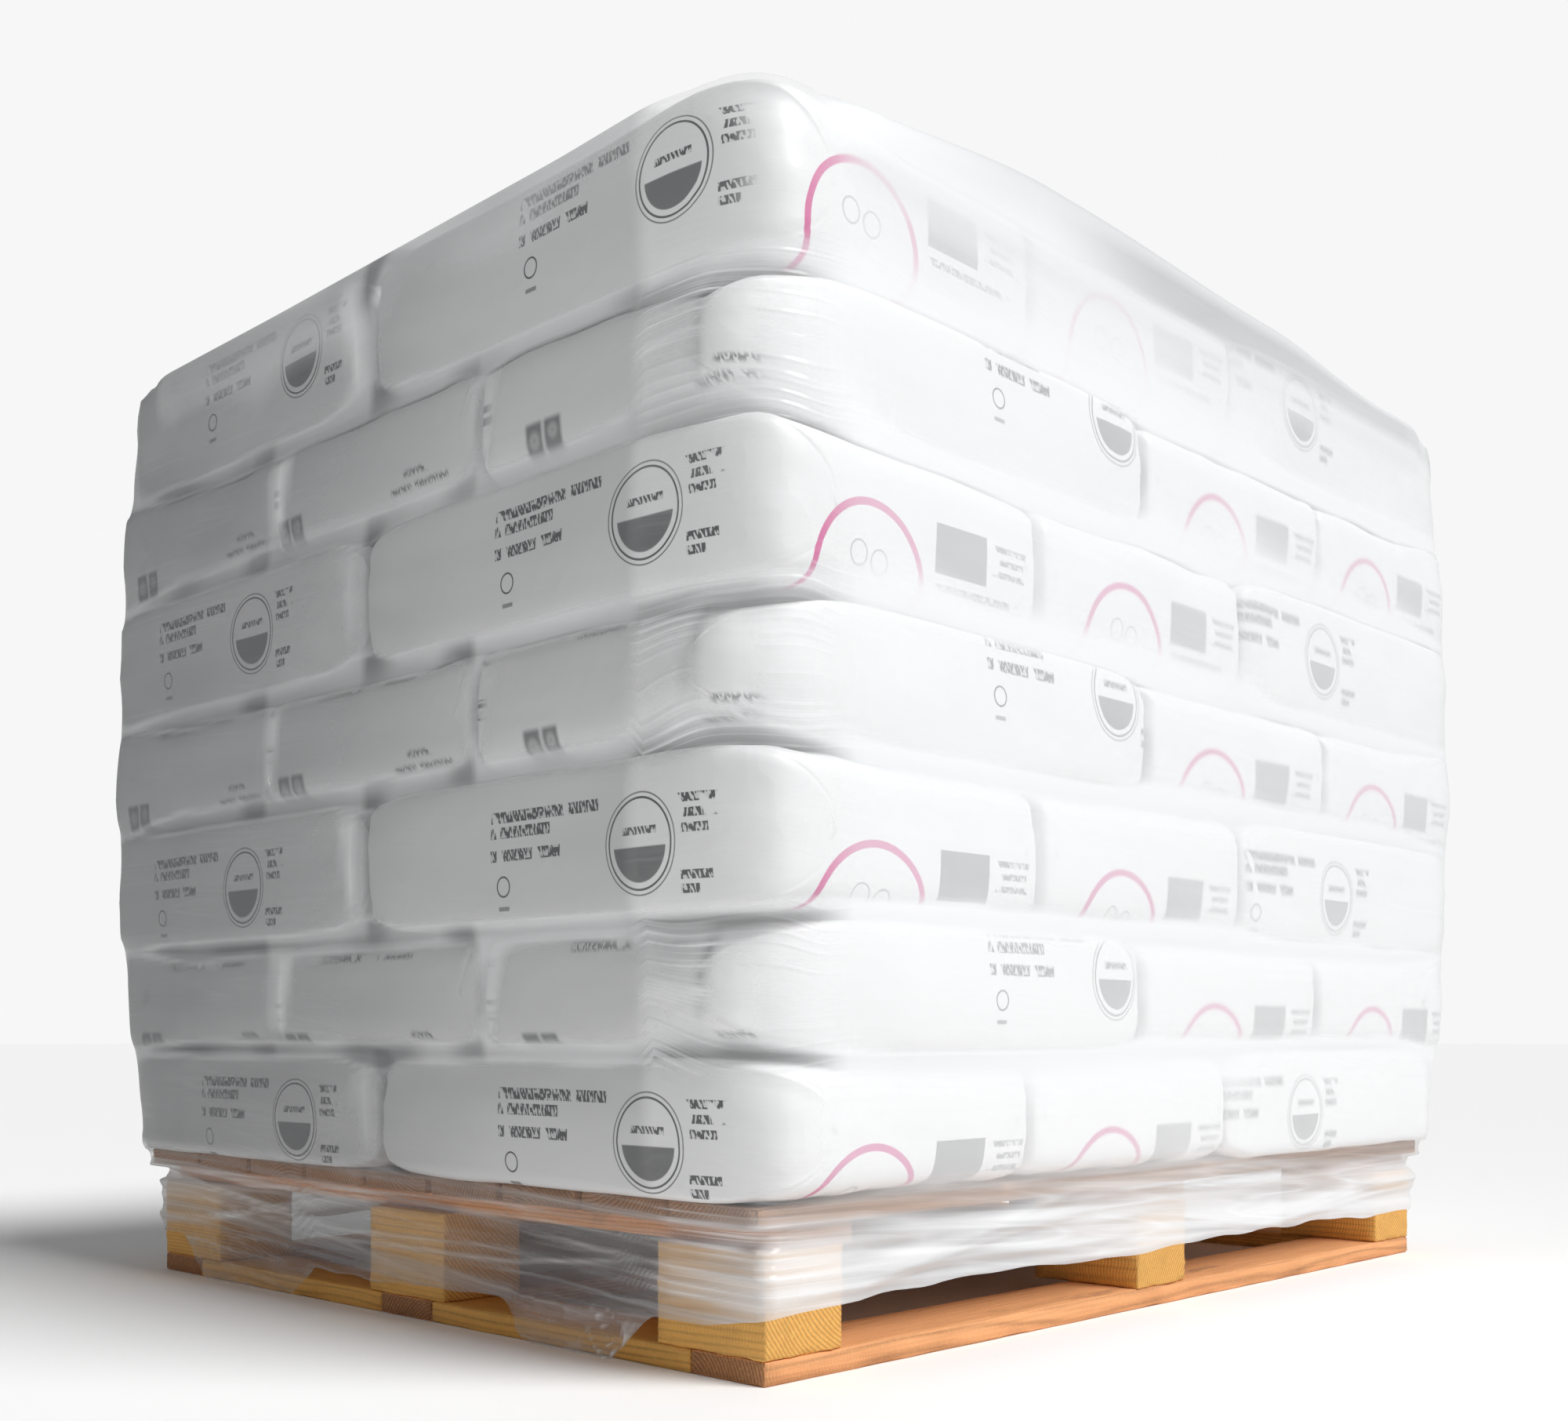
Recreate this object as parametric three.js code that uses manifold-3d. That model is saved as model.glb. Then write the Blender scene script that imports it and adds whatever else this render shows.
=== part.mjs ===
// A loaded pallet: a block pallet of 1300 x 1100 mm with perimeter bottom boards, seven layers of seven filled
// plastic sacks laid in a bonded pattern, and the stretch film wound round them and round the pallet's blocks.
// Millimetres, +Z up. The origin is on the floor under the middle of the pallet. The 1300 mm side lies along X,
// and the near side, where a fork enters under the long side, faces -Y.

import * as THREE from "three";
import { mergeVertices } from "three/addons/utils/BufferGeometryUtils.js";
import Module from "manifold-3d";

const wasm = await Module();
wasm.setup();

// Pallet timber
const palletLength = 1300;
const palletWidth = 1100;
const bottomThick = 22;
const blockHeight = 94;
const stringerThick = 21;
const deckThick = 19;
const boardWidth = 95;
const footLength = 1270;
const footWidth = 1090;
const blockLength = 100;
const blockWidth = 140;
const stringerInset = 18;
const deckBoards = 9;
const deckGap = 11;

const blockBase = bottomThick;
const stringerBase = blockBase + blockHeight;
const deckBase = stringerBase + stringerThick;
const deckTop = deckBase + deckThick;

// Sacks: each fills a slot of slotLength x slotWidth, and 2 slot lengths are 3 slot widths
const slotLength = 594;
const slotWidth = 396;
const seatGap = 0.3;
const sackCorner = 60;
const sackSteps = 2;
const sideTouch = 2;
const topInset = 38;
const shoulderInset = 8;
const shoulderShare = 0.32;
// The layers from the bottom up: the height that each has settled to, and how far it has spread
const layerPitch = [128, 124, 146, 132, 148, 134, 152];
const layerSpread = [0.972, 0.988, 1.0, 1.003, 1.0, 0.99, 0.978];
const layers = layerPitch.length;

// Stretch film
const filmThick = 1;
const filmGap = 0.5;
const filmCorner = 50;
const filmSteps = 3;
const timberCorner = 1;
const filmBottom = 50;
const filmDip = 12;
const filmFold = 150;

const wood = (colour) =>
  new THREE.MeshStandardMaterial({ color: colour, roughness: 0.8 });
const palePine = wood(0xd9b36c);
const redPine = wood(0xd9925c);
const deckPine = wood(0xb98a62);
const sackPlastic = new THREE.MeshStandardMaterial({
  color: 0xeeeff1,
  roughness: 0.45,
});
const filmPlastic = new THREE.MeshStandardMaterial({
  color: 0xdfe3e6,
  roughness: 0.25,
});

const object = new THREE.Group();
const weldDistance = 1e-3;

// A sawn board or block with its lowest corner at the given place
function timber(name, corner, size, material) {
  const mesh = new THREE.Mesh(new THREE.BoxGeometry(...size), material);
  mesh.position.set(...corner.map((low, axis) => low + size[axis] / 2));
  mesh.name = name;
  object.add(mesh);
}

// The bottom frame: three boards along the pallet, and cross boards butted between them at both ends
function bottomFrame() {
  const rows = {
    front: -footWidth / 2,
    middle: -boardWidth / 2,
    back: footWidth / 2 - boardWidth,
  };
  for (const [row, y] of Object.entries(rows))
    timber(
      `bottom_board_${row}`,
      [-footLength / 2, y, 0],
      [footLength, boardWidth, bottomThick],
      redPine,
    );
  const ends = { left: -footLength / 2, right: footLength / 2 - boardWidth };
  const crossLength = rows.middle - rows.front - boardWidth - 2 * seatGap;
  for (const [end, x] of Object.entries(ends))
    for (const row of ["front", "middle"])
      timber(
        `bottom_cross_${end}_${row === "front" ? "front" : "back"}`,
        [x, rows[row] + boardWidth + seatGap, 0],
        [boardWidth, crossLength, bottomThick],
        palePine,
      );
}

// Nine blocks in three rows, one under each crossing of a stringer and a bottom board
function blocks() {
  const rows = {
    front: -footWidth / 2,
    middle: -blockWidth / 2,
    back: footWidth / 2 - blockWidth,
  };
  const columns = {
    left: -footLength / 2,
    centre: -blockLength / 2,
    right: footLength / 2 - blockLength,
  };
  for (const [row, y] of Object.entries(rows))
    for (const [column, x] of Object.entries(columns))
      timber(
        `block_${row}_${column}`,
        [x, y, blockBase],
        [blockLength, blockWidth, blockHeight],
        palePine,
      );
}

// Three stringers across the pallet, on the blocks
function stringers() {
  const inside = footLength / 2 - stringerInset;
  const columns = {
    left: -inside,
    centre: -boardWidth / 2,
    right: inside - boardWidth,
  };
  for (const [column, x] of Object.entries(columns))
    timber(
      `stringer_${column}`,
      [x, -footWidth / 2, stringerBase],
      [boardWidth, footWidth, stringerThick],
      redPine,
    );
}

// The deck boards along the pallet, on the stringers
function deck() {
  const wide = (palletWidth - (deckBoards - 1) * deckGap) / deckBoards;
  for (let i = 0; i < deckBoards; i++)
    timber(
      `deck_board_${i + 1}`,
      [-palletLength / 2, -palletWidth / 2 + i * (wide + deckGap), deckBase],
      [palletLength, wide, deckThick],
      deckPine,
    );
}

// A level rectangle with rounded corners at height z, anticlockwise, with steps + 1 points on each corner
function roundedRing(halfX, halfY, radius, steps, z) {
  const points = [];
  for (let corner = 0; corner < 4; corner++) {
    const signX = corner === 0 || corner === 3 ? 1 : -1;
    const signY = corner < 2 ? 1 : -1;
    for (let i = 0; i <= steps; i++) {
      const angle = ((corner + i / steps) * Math.PI) / 2;
      points.push(
        new THREE.Vector3(
          signX * (halfX - radius) + radius * Math.cos(angle),
          signY * (halfY - radius) + radius * Math.sin(angle),
          z,
        ),
      );
    }
  }
  return points;
}

function toSolid(geometry) {
  const bare = new THREE.BufferGeometry();
  bare.setAttribute("position", geometry.getAttribute("position"));
  if (geometry.index) bare.setIndex(geometry.index);
  const merged = mergeVertices(bare, weldDistance);
  return new wasm.Manifold(
    new wasm.Mesh({
      numProp: 3,
      vertProperties: merged.attributes.position.array,
      triVerts: new Uint32Array(merged.index.array),
    }),
  );
}

function toGeometry(solid) {
  const mesh = solid.getMesh();
  const geometry = new THREE.BufferGeometry();
  geometry.setAttribute(
    "position",
    new THREE.BufferAttribute(mesh.vertProperties, 3),
  );
  geometry.setIndex(new THREE.BufferAttribute(mesh.triVerts, 1));
  geometry.computeVertexNormals();
  return geometry;
}

// A skin through a list of rings with equally many points, anticlockwise seen from above. A looped skin closes on
// its first ring, and any other is closed by a flat fan at each end. Going up, the skin faces out.
function skin(rings, looped) {
  const around = rings[0].length;
  const points = rings.flat();
  const faces = [];
  const bands = looped ? rings.length : rings.length - 1;
  for (let band = 0; band < bands; band++)
    for (let i = 0; i < around; i++) {
      const here = band * around;
      const above = ((band + 1) % rings.length) * around;
      const next = (i + 1) % around;
      faces.push(here + i, here + next, above + next);
      faces.push(here + i, above + next, above + i);
    }
  const last = (rings.length - 1) * around;
  for (let i = 1; !looped && i < around - 1; i++) {
    faces.push(0, i + 1, i);
    faces.push(last, last + i, last + i + 1);
  }
  const geometry = new THREE.BufferGeometry().setFromPoints(points);
  geometry.setIndex(faces);
  return geometry;
}

// One filled sack, its middle at the origin: flat above and below, where it lies on its neighbours, and bulging
// at its sides
function sackGeometry(sizeX, sizeY, height) {
  const half = height / 2;
  const shoulder = height * shoulderShare;
  const levels = [
    [-half, topInset],
    [-shoulder, shoulderInset],
    [0, 0],
    [shoulder, shoulderInset],
    [half, topInset],
  ];
  return skin(
    levels.map(([z, inset]) =>
      roundedRing(sizeX / 2 - inset, sizeY / 2 - inset, sackCorner, sackSteps, z),
    ),
    false,
  );
}

// Where the seven sacks of a layer lie: [x, y, true if the sack's length is along X]. Two columns of two sacks
// lie across the pallet, and one column of three lies along it. Every other layer is turned end for end.
function layerPattern(turned) {
  const across = (slotLength + 2 * slotWidth) / 2;
  const places = [];
  for (const column of [0, 1])
    for (const side of [-1, 1])
      places.push([
        -across + (column + 0.5) * slotWidth,
        (side * slotLength) / 2,
        false,
      ]);
  for (const row of [-1, 0, 1])
    places.push([across - slotLength / 2, row * slotWidth, true]);
  return turned ? places.map(([x, y, along]) => [-x, -y, along]) : places;
}

function layerBase(layer) {
  const below = layerPitch.slice(0, layer);
  return deckTop + seatGap + below.reduce((sum, pitch) => sum + pitch, 0);
}

function layerHeight(layer) {
  return layerPitch[layer] - seatGap;
}

// One layer: its sacks press against each other at their sides, with the grooves between them open
function sackLayer(layer) {
  const spread = layerSpread[layer];
  const long = slotLength * spread + sideTouch;
  const short = slotWidth * spread + sideTouch;
  const height = layerHeight(layer);
  let solid = null;
  for (const [x, y, along] of layerPattern(layer % 2 === 1)) {
    const lying = along
      ? sackGeometry(long, short, height)
      : sackGeometry(short, long, height);
    const centre = [x * spread, y * spread, layerBase(layer) + height / 2];
    const sack = toSolid(lying).translate(centre);
    solid = solid ? solid.add(sack) : sack;
  }
  const mesh = new THREE.Mesh(toGeometry(solid), sackPlastic);
  mesh.name = `sack_layer_${layer + 1}`;
  object.add(mesh);
}

// The film's inner face as levels [z, half X, half Y, corner radius], from its bottom edge up to its fold on the
// top. It is drawn square round the timber and rounder round the sacks.
function filmLevels() {
  const levels = [
    [filmBottom, footLength / 2 + filmGap, footWidth / 2 + filmGap, timberCorner],
    [stringerBase, footLength / 2 + filmGap, footWidth / 2 + filmGap, timberCorner],
    [deckBase, palletLength / 2 + filmGap, palletWidth / 2 + filmGap, timberCorner],
    [deckTop, palletLength / 2 + filmGap, palletWidth / 2 + filmGap, timberCorner],
  ];
  const halfOf = (layer) => [
    (layerSpread[layer] * (slotLength + 2 * slotWidth) + sideTouch) / 2 + filmGap,
    (layerSpread[layer] * 2 * slotLength + sideTouch) / 2 + filmGap,
  ];
  for (let layer = 0; layer < layers; layer++) {
    const [x, y] = halfOf(layer);
    const height = layerHeight(layer);
    const middle = layerBase(layer) + height / 2;
    const shoulder = height * shoulderShare;
    const drawnIn = shoulderInset / 2;
    if (layer === 0) levels.push([middle - shoulder, x - drawnIn, y - drawnIn, filmCorner]);
    levels.push([middle, x, y, filmCorner]);
    if (layer === layers - 1) {
      const top = layerBase(layer) + height + filmGap;
      const over = topInset - 2 * shoulderInset;
      levels.push([middle + shoulder, x - drawnIn, y - drawnIn, filmCorner]);
      levels.push([top, x - over, y - over, filmCorner]);
      levels.push([top, x - filmFold, y - filmFold, filmCorner]);
    } else {
      const [nextX, nextY] = halfOf(layer + 1);
      levels.push([
        layerBase(layer + 1),
        Math.max(x, nextX) - filmDip,
        Math.max(y, nextY) - filmDip,
        filmCorner,
      ]);
    }
  }
  return levels;
}

// The film: a closed skin whose inner face follows the levels, and whose outer face lies filmThick outside it
function stretchWrap() {
  const inner = filmLevels();
  const outer = inner.map(([z, x, y, radius], i) => {
    const fold = i === inner.length - 1;
    const onTop = fold || i === inner.length - 2;
    const wider = fold ? 0 : filmThick;
    return [z + (onTop ? filmThick : 0), x + wider, y + wider, radius];
  });
  const rings = [...outer, ...inner.reverse()].map(([z, x, y, radius]) =>
    roundedRing(x, y, radius, filmSteps, z),
  );
  const mesh = new THREE.Mesh(skin(rings, true), filmPlastic);
  mesh.name = "stretch_wrap";
  object.add(mesh);
}

bottomFrame();
blocks();
stringers();
deck();
for (let layer = 0; layer < layers; layer++) sackLayer(layer);
stretchWrap();

export default object;
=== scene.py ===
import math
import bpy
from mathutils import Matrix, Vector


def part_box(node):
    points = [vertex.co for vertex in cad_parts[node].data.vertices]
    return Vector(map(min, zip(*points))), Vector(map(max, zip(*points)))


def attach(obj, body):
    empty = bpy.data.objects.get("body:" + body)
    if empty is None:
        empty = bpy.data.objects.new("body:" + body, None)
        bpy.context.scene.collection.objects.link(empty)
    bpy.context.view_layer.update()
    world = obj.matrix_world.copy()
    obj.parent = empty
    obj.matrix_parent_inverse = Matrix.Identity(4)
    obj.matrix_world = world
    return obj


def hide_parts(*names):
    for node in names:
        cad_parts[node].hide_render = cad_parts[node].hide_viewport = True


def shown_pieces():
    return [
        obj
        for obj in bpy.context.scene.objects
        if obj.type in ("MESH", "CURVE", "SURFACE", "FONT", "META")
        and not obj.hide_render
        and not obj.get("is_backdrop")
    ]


bl_info = {
    "name": "Pallet of sacks",
    "version": (1, 0, 0),
    "blender": (4, 5, 0),
    "location": "3D View > Sidebar > Pallet",
    "description": "Makes a stretch-wrapped pallet of filled plastic sacks",
    "category": "Add Mesh",
}

import bpy
import numpy as np
from bpy.props import FloatProperty, FloatVectorProperty, IntProperty, PointerProperty
from mathutils import Vector
from mathutils.bvhtree import BVHTree

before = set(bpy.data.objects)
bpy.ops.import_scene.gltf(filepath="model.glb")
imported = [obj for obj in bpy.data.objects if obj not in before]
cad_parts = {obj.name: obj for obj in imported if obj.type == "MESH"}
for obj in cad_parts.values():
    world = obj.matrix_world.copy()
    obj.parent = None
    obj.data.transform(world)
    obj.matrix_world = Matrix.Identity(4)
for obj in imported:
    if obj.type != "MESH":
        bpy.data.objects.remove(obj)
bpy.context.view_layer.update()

BODY = "root"
LAYERS = 7
MM = 0.001

# The photograph's view: its size, focal length and optical centre in pixels, and where the camera stood
PHOTO_WIDTH = 2000
PHOTO_HEIGHT = 1812
FOCAL_LENGTH = 2216.9
CENTRE_ACROSS = 1027.7
CENTRE_DOWN = 1313.4
CAMERA_PLACE = (-1.6985, -1.5995, 0.3088)
CAMERA_TURN = -46.58
SENSOR_WIDTH = 36.0


# Small mathematics

def smooth(low, high, value):
    """0 below low, 1 above high, and a smooth curve between them."""
    share = np.clip((value - low) / (high - low), 0.0, 1.0)
    return share * share * (3.0 - 2.0 * share)


def within(start, full, fading, end, value):
    """1 from full to fading, 0 before start and after end, and smooth curves between them."""
    return smooth(start, full, value) * (1.0 - smooth(fading, end, value))


def blend(field, share, value):
    """The field, moved towards the value by the share."""
    return field + share * (value - field)


def waves(points, length, rng, count=14, stretch=(1.0, 1.0, 1.0)):
    """A smooth random field from -1 to 1, a sum of sines with about the given wave length."""
    points = np.asarray(points, dtype=float)
    axes = points.shape[-1]
    total = np.zeros(points.shape[:-1])
    for _ in range(count):
        way = rng.normal(size=axes)
        way /= np.linalg.norm(way)
        pitch = 2.0 * math.pi / (length * rng.uniform(0.6, 1.7))
        way = way * pitch / np.asarray(stretch[:axes])
        total += np.sin(points @ way + rng.uniform(0.0, 2.0 * math.pi))
    return total / math.sqrt(count * 2.0)


def even_steps(points, count, weight=(1.0, 1.0), bend=0.0):
    """The curve through the points, cut anew into count points that are equally far apart. A way with more
    weight is cut more closely, and so are bends: bend is the length that a radian of turning counts for."""
    points = np.asarray(points, dtype=float)
    step = np.diff(points, axis=0)
    size = np.linalg.norm(step * np.asarray(weight), axis=1)
    turning = np.abs(np.diff(np.unwrap(np.arctan2(step[:, 1], step[:, 0]))))
    size[1:] += bend * turning
    run = np.concatenate([[0.0], np.cumsum(size)])
    marks = np.linspace(0.0, run[-1], count)
    return np.stack([np.interp(marks, run, points[:, axis]) for axis in range(points.shape[1])], axis=1)


def soften(field, rounds):
    """Blur a field over the film's grid, whose columns close on themselves."""
    for _ in range(rounds):
        beside = np.roll(field, 1, axis=1) + np.roll(field, -1, axis=1)
        padded = np.concatenate([field[:1], field, field[-1:]])
        field = (2.0 * field + beside + padded[2:] + padded[:-2]) / 6.0
    return field


# Meshes

def give_attribute(mesh, name, values):
    """One number, or one vector, for each point of the mesh."""
    values = np.asarray(values, dtype=np.float32)
    kind, field = ("FLOAT_VECTOR", "vector") if values.ndim == 2 else ("FLOAT", "value")
    layer = mesh.attributes.new(name, kind, "POINT")
    layer.data.foreach_set(field, values.ravel())


def give_uv(mesh, name, corner_values):
    layer = mesh.uv_layers.new(name=name)
    layer.data.foreach_set("uv", np.asarray(corner_values, dtype=np.float32).ravel())


def corner_points(mesh):
    """The point that each face corner of the mesh lies on."""
    index = np.empty(len(mesh.loops), dtype=np.int32)
    mesh.loops.foreach_get("vertex_index", index)
    return index


def grid_faces(rows, columns):
    """Quads between rows of points that each close on themselves."""
    faces = []
    for row in range(rows - 1):
        here, there = row * columns, (row + 1) * columns
        for column in range(columns):
            following = (column + 1) % columns
            faces.append((here + column, here + following, there + following, there + column))
    return faces


def new_piece(name, points, faces, material):
    """A mesh object that rides on the pallet, with the given material."""
    mesh = bpy.data.meshes.new(name)
    mesh.from_pydata(np.asarray(points, dtype=float).tolist(), [], faces)
    mesh.update()
    mesh.shade_smooth()
    mesh.materials.append(material)
    piece = bpy.data.objects.new(name, mesh)
    bpy.context.collection.objects.link(piece)
    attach(piece, BODY)
    return piece


# Shader maths

class Sock:
    """A shader socket. An expression on it adds the Math nodes that work it out."""

    def __init__(self, graph, socket):
        self.graph = graph
        self.socket = socket

    def math(self, operation, *others):
        inputs = {0: self, **{place + 1: other for place, other in enumerate(others)}}
        return self.graph.add("ShaderNodeMath", inputs, operation=operation)

    def __add__(self, other):
        return self.math("ADD", other)

    __radd__ = __add__

    def __mul__(self, other):
        return self.math("MULTIPLY", other)

    __rmul__ = __mul__

    def __sub__(self, other):
        return self.math("SUBTRACT", other)

    def __rsub__(self, other):
        return self * -1.0 + other

    def __truediv__(self, other):
        return self.math("DIVIDE", other)

    def __pow__(self, other):
        return self.math("POWER", other)

    def __abs__(self):
        return self.math("ABSOLUTE")

    def sin(self):
        return self.math("SINE")

    def root(self):
        return self.math("SQRT")

    def least(self, other):
        return self.math("MINIMUM", other)

    def most(self, other):
        return self.math("MAXIMUM", other)

    def held(self, low=0.0, high=1.0):
        return self.most(low).least(high)


class Graph:
    """The node tree of one new material."""

    def __init__(self, name):
        self.material = bpy.data.materials.new(name)
        self.material.use_nodes = True
        self.tree = self.material.node_tree
        self.tree.nodes.clear()

    def add(self, kind, inputs=None, out=0, **settings):
        """A node of this type, its settings made first, and then the values or links of its sockets."""
        node = self.tree.nodes.new(kind)
        for key, value in settings.items():
            setattr(node, key, value)
        for key, value in (inputs or {}).items():
            if isinstance(value, Sock):
                self.tree.links.new(value.socket, node.inputs[key])
            else:
                node.inputs[key].default_value = value
        return Sock(self, node.outputs[out])

    def attribute(self, name, out="Fac"):
        return self.add("ShaderNodeAttribute", out=out, attribute_name=name)

    def split(self, vector):
        node = self.add("ShaderNodeSeparateXYZ", {0: vector}).socket.node
        return [Sock(self, socket) for socket in node.outputs]

    def join(self, x, y, z=0.0):
        return self.add("ShaderNodeCombineXYZ", {0: x, 1: y, 2: z})

    def noise(self, vector, scale=1.0, detail=3.0, roughness=0.55):
        inputs = {"Vector": vector, "Scale": scale, "Detail": detail, "Roughness": roughness}
        return self.add("ShaderNodeTexNoise", inputs)

    def step(self, low, high, value):
        inputs = {"Value": value, "From Min": low, "From Max": high}
        return self.add("ShaderNodeMapRange", inputs, interpolation_type="SMOOTHSTEP")

    def band(self, low, high, soft, value):
        """1 between low and high, with soft borders."""
        return self.step(low - soft, low + soft, value) * (1.0 - self.step(high - soft, high + soft, value))

    def mix(self, factor, first, second):
        """Between two colours."""
        first, second = [(*c, 1.0) if isinstance(c, tuple) else c for c in (first, second)]
        return self.add("ShaderNodeMix", {0: factor, 6: first, 7: second}, out=2, data_type="RGBA")

    def bump(self, height, distance, strength):
        return self.add("ShaderNodeBump", {"Height": height, "Distance": distance, "Strength": strength})

    def surface(self, **values):
        """The Principled shader, wired to the output. A name's underscores stand for spaces."""
        inputs = {key.replace("_", " "): value for key, value in values.items()}
        shader = self.add("ShaderNodeBsdfPrincipled", inputs)
        output = self.tree.nodes.new("ShaderNodeOutputMaterial")
        self.tree.links.new(shader.socket, output.inputs["Surface"])
        return self.material


# Settings

class TimberSettings(bpy.types.PropertyGroup):
    edge_wear: FloatProperty(
        name="Edge wear",
        description="How far the sawn edges are broken",
        default=1.3 * MM,
        min=0.0,
        unit="LENGTH",
    )
    saw_depth: FloatProperty(
        name="Saw depth",
        description="Depth of the saw's marks",
        default=0.35 * MM,
        min=0.0,
        unit="LENGTH",
    )
    ring_width: FloatProperty(
        name="Ring width",
        description="Width of a year's growth",
        default=4.2 * MM,
        min=0.5 * MM,
        unit="LENGTH",
    )
    red_colour: FloatVectorProperty(
        name="Reddish pine",
        description="Colour of the bottom boards and the stringers",
        default=(0.90, 0.42, 0.18),
        subtype="COLOR",
    )
    pale_colour: FloatVectorProperty(
        name="Yellow pine",
        description="Colour of the blocks and the cross boards",
        default=(1.0, 0.53, 0.13),
        subtype="COLOR",
    )
    deck_colour: FloatVectorProperty(
        name="Deck pine",
        description="Colour of the deck boards",
        default=(0.50, 0.27, 0.14),
        subtype="COLOR",
    )


class SackSettings(bpy.types.PropertyGroup):
    lump: FloatProperty(
        name="Lump height",
        description="How far the filling pushes the sides out",
        default=2.2 * MM,
        unit="LENGTH",
    )
    crease: FloatProperty(
        name="Crease depth",
        description="Depth of the gathers by the welded ends",
        default=1.1 * MM,
        unit="LENGTH",
    )
    stray: FloatProperty(
        name="Stray",
        description="How far a sack may lie off its place",
        default=1.2 * MM,
        unit="LENGTH",
    )
    plastic_colour: FloatVectorProperty(
        name="Plastic",
        description="Colour of the sacks",
        default=(0.86, 0.865, 0.87),
        subtype="COLOR",
    )
    ink_colour: FloatVectorProperty(
        name="Ink",
        description="Colour of the printed bars",
        default=(0.03, 0.032, 0.036),
        subtype="COLOR",
    )
    mark_colour: FloatVectorProperty(
        name="Mark",
        description="Colour of the printed arches",
        default=(0.62, 0.02, 0.25),
        subtype="COLOR",
    )
    seed: IntProperty(
        name="Seed",
        description="Start of the random numbers",
        default=7,
        min=0,
    )


class FilmSettings(bpy.types.PropertyGroup):
    clearance: FloatProperty(
        name="Clearance",
        description="Room between the film and what it touches",
        default=1.4 * MM,
        unit="LENGTH",
    )
    sink: FloatProperty(
        name="Sink",
        description="How far the film may sink between the layers",
        default=9 * MM,
        unit="LENGTH",
    )
    suction: FloatProperty(
        name="Suction",
        description="How hard the film is drawn in, as its curve over a gap, per metre",
        default=8.0,
    )
    settle: IntProperty(
        name="Settling",
        description="How long the drawn film settles between the sacks",
        default=140,
        min=0,
    )
    fold: FloatProperty(
        name="Fold over the top",
        description="How far the film reaches in over the load",
        default=0.15,
        unit="LENGTH",
    )
    edge_height: FloatProperty(
        name="Lower edge",
        description="Height of the film's lower edge",
        default=0.052,
        unit="LENGTH",
    )
    crown: FloatProperty(
        name="Crown",
        description="How high the slack upper edge stands up in front",
        default=0.030,
        unit="LENGTH",
    )
    clear: FloatProperty(
        name="Veil where it touches",
        description="Opacity against a sack",
        default=0.13,
        min=0.0,
        max=1.0,
        subtype="FACTOR",
    )
    milky: FloatProperty(
        name="Veil where it stands off",
        description="Opacity over a gap",
        default=0.84,
        min=0.0,
        max=1.0,
        subtype="FACTOR",
    )
    colour: FloatVectorProperty(
        name="Film",
        description="Colour of the film",
        default=(0.92, 0.93, 0.94),
        subtype="COLOR",
    )
    seed: IntProperty(
        name="Seed",
        description="Start of the random numbers",
        default=3,
        min=0,
    )


class StageSettings(bpy.types.PropertyGroup):
    floor_radius: FloatProperty(
        name="Floor radius",
        description="How far the floor reaches",
        default=40.0,
        unit="LENGTH",
    )
    floor_colour: FloatVectorProperty(
        name="Floor",
        description="Colour of the floor",
        default=(0.98, 0.98, 0.98),
        subtype="COLOR",
    )
    key_strength: FloatProperty(
        name="Key light",
        description="Strength of the key light",
        default=2.75,
        min=0.0,
    )
    sky_light: FloatProperty(
        name="Sky light",
        description="Strength of the light all round",
        default=0.20,
        min=0.0,
    )
    sky_gloss: FloatProperty(
        name="Sky gloss",
        description="Strength of the sky in reflections",
        default=0.3,
        min=0.0,
    )
    fill_power: FloatProperty(
        name="Fill light",
        description="Power of the light by the camera",
        default=3.0,
        unit="POWER",
    )
    sky_seen: FloatProperty(
        name="Background",
        description="Brightness of the background",
        default=0.93,
        min=0.0,
    )


# Timber

ROWS = ("front", "middle", "back")
COLUMNS = ("left", "centre", "right")
DECK_BOARDS = range(1, 10)
BOARD_SEED = 11
BLOCK_SEED = 23
NAIL_SEED = 5


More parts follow.
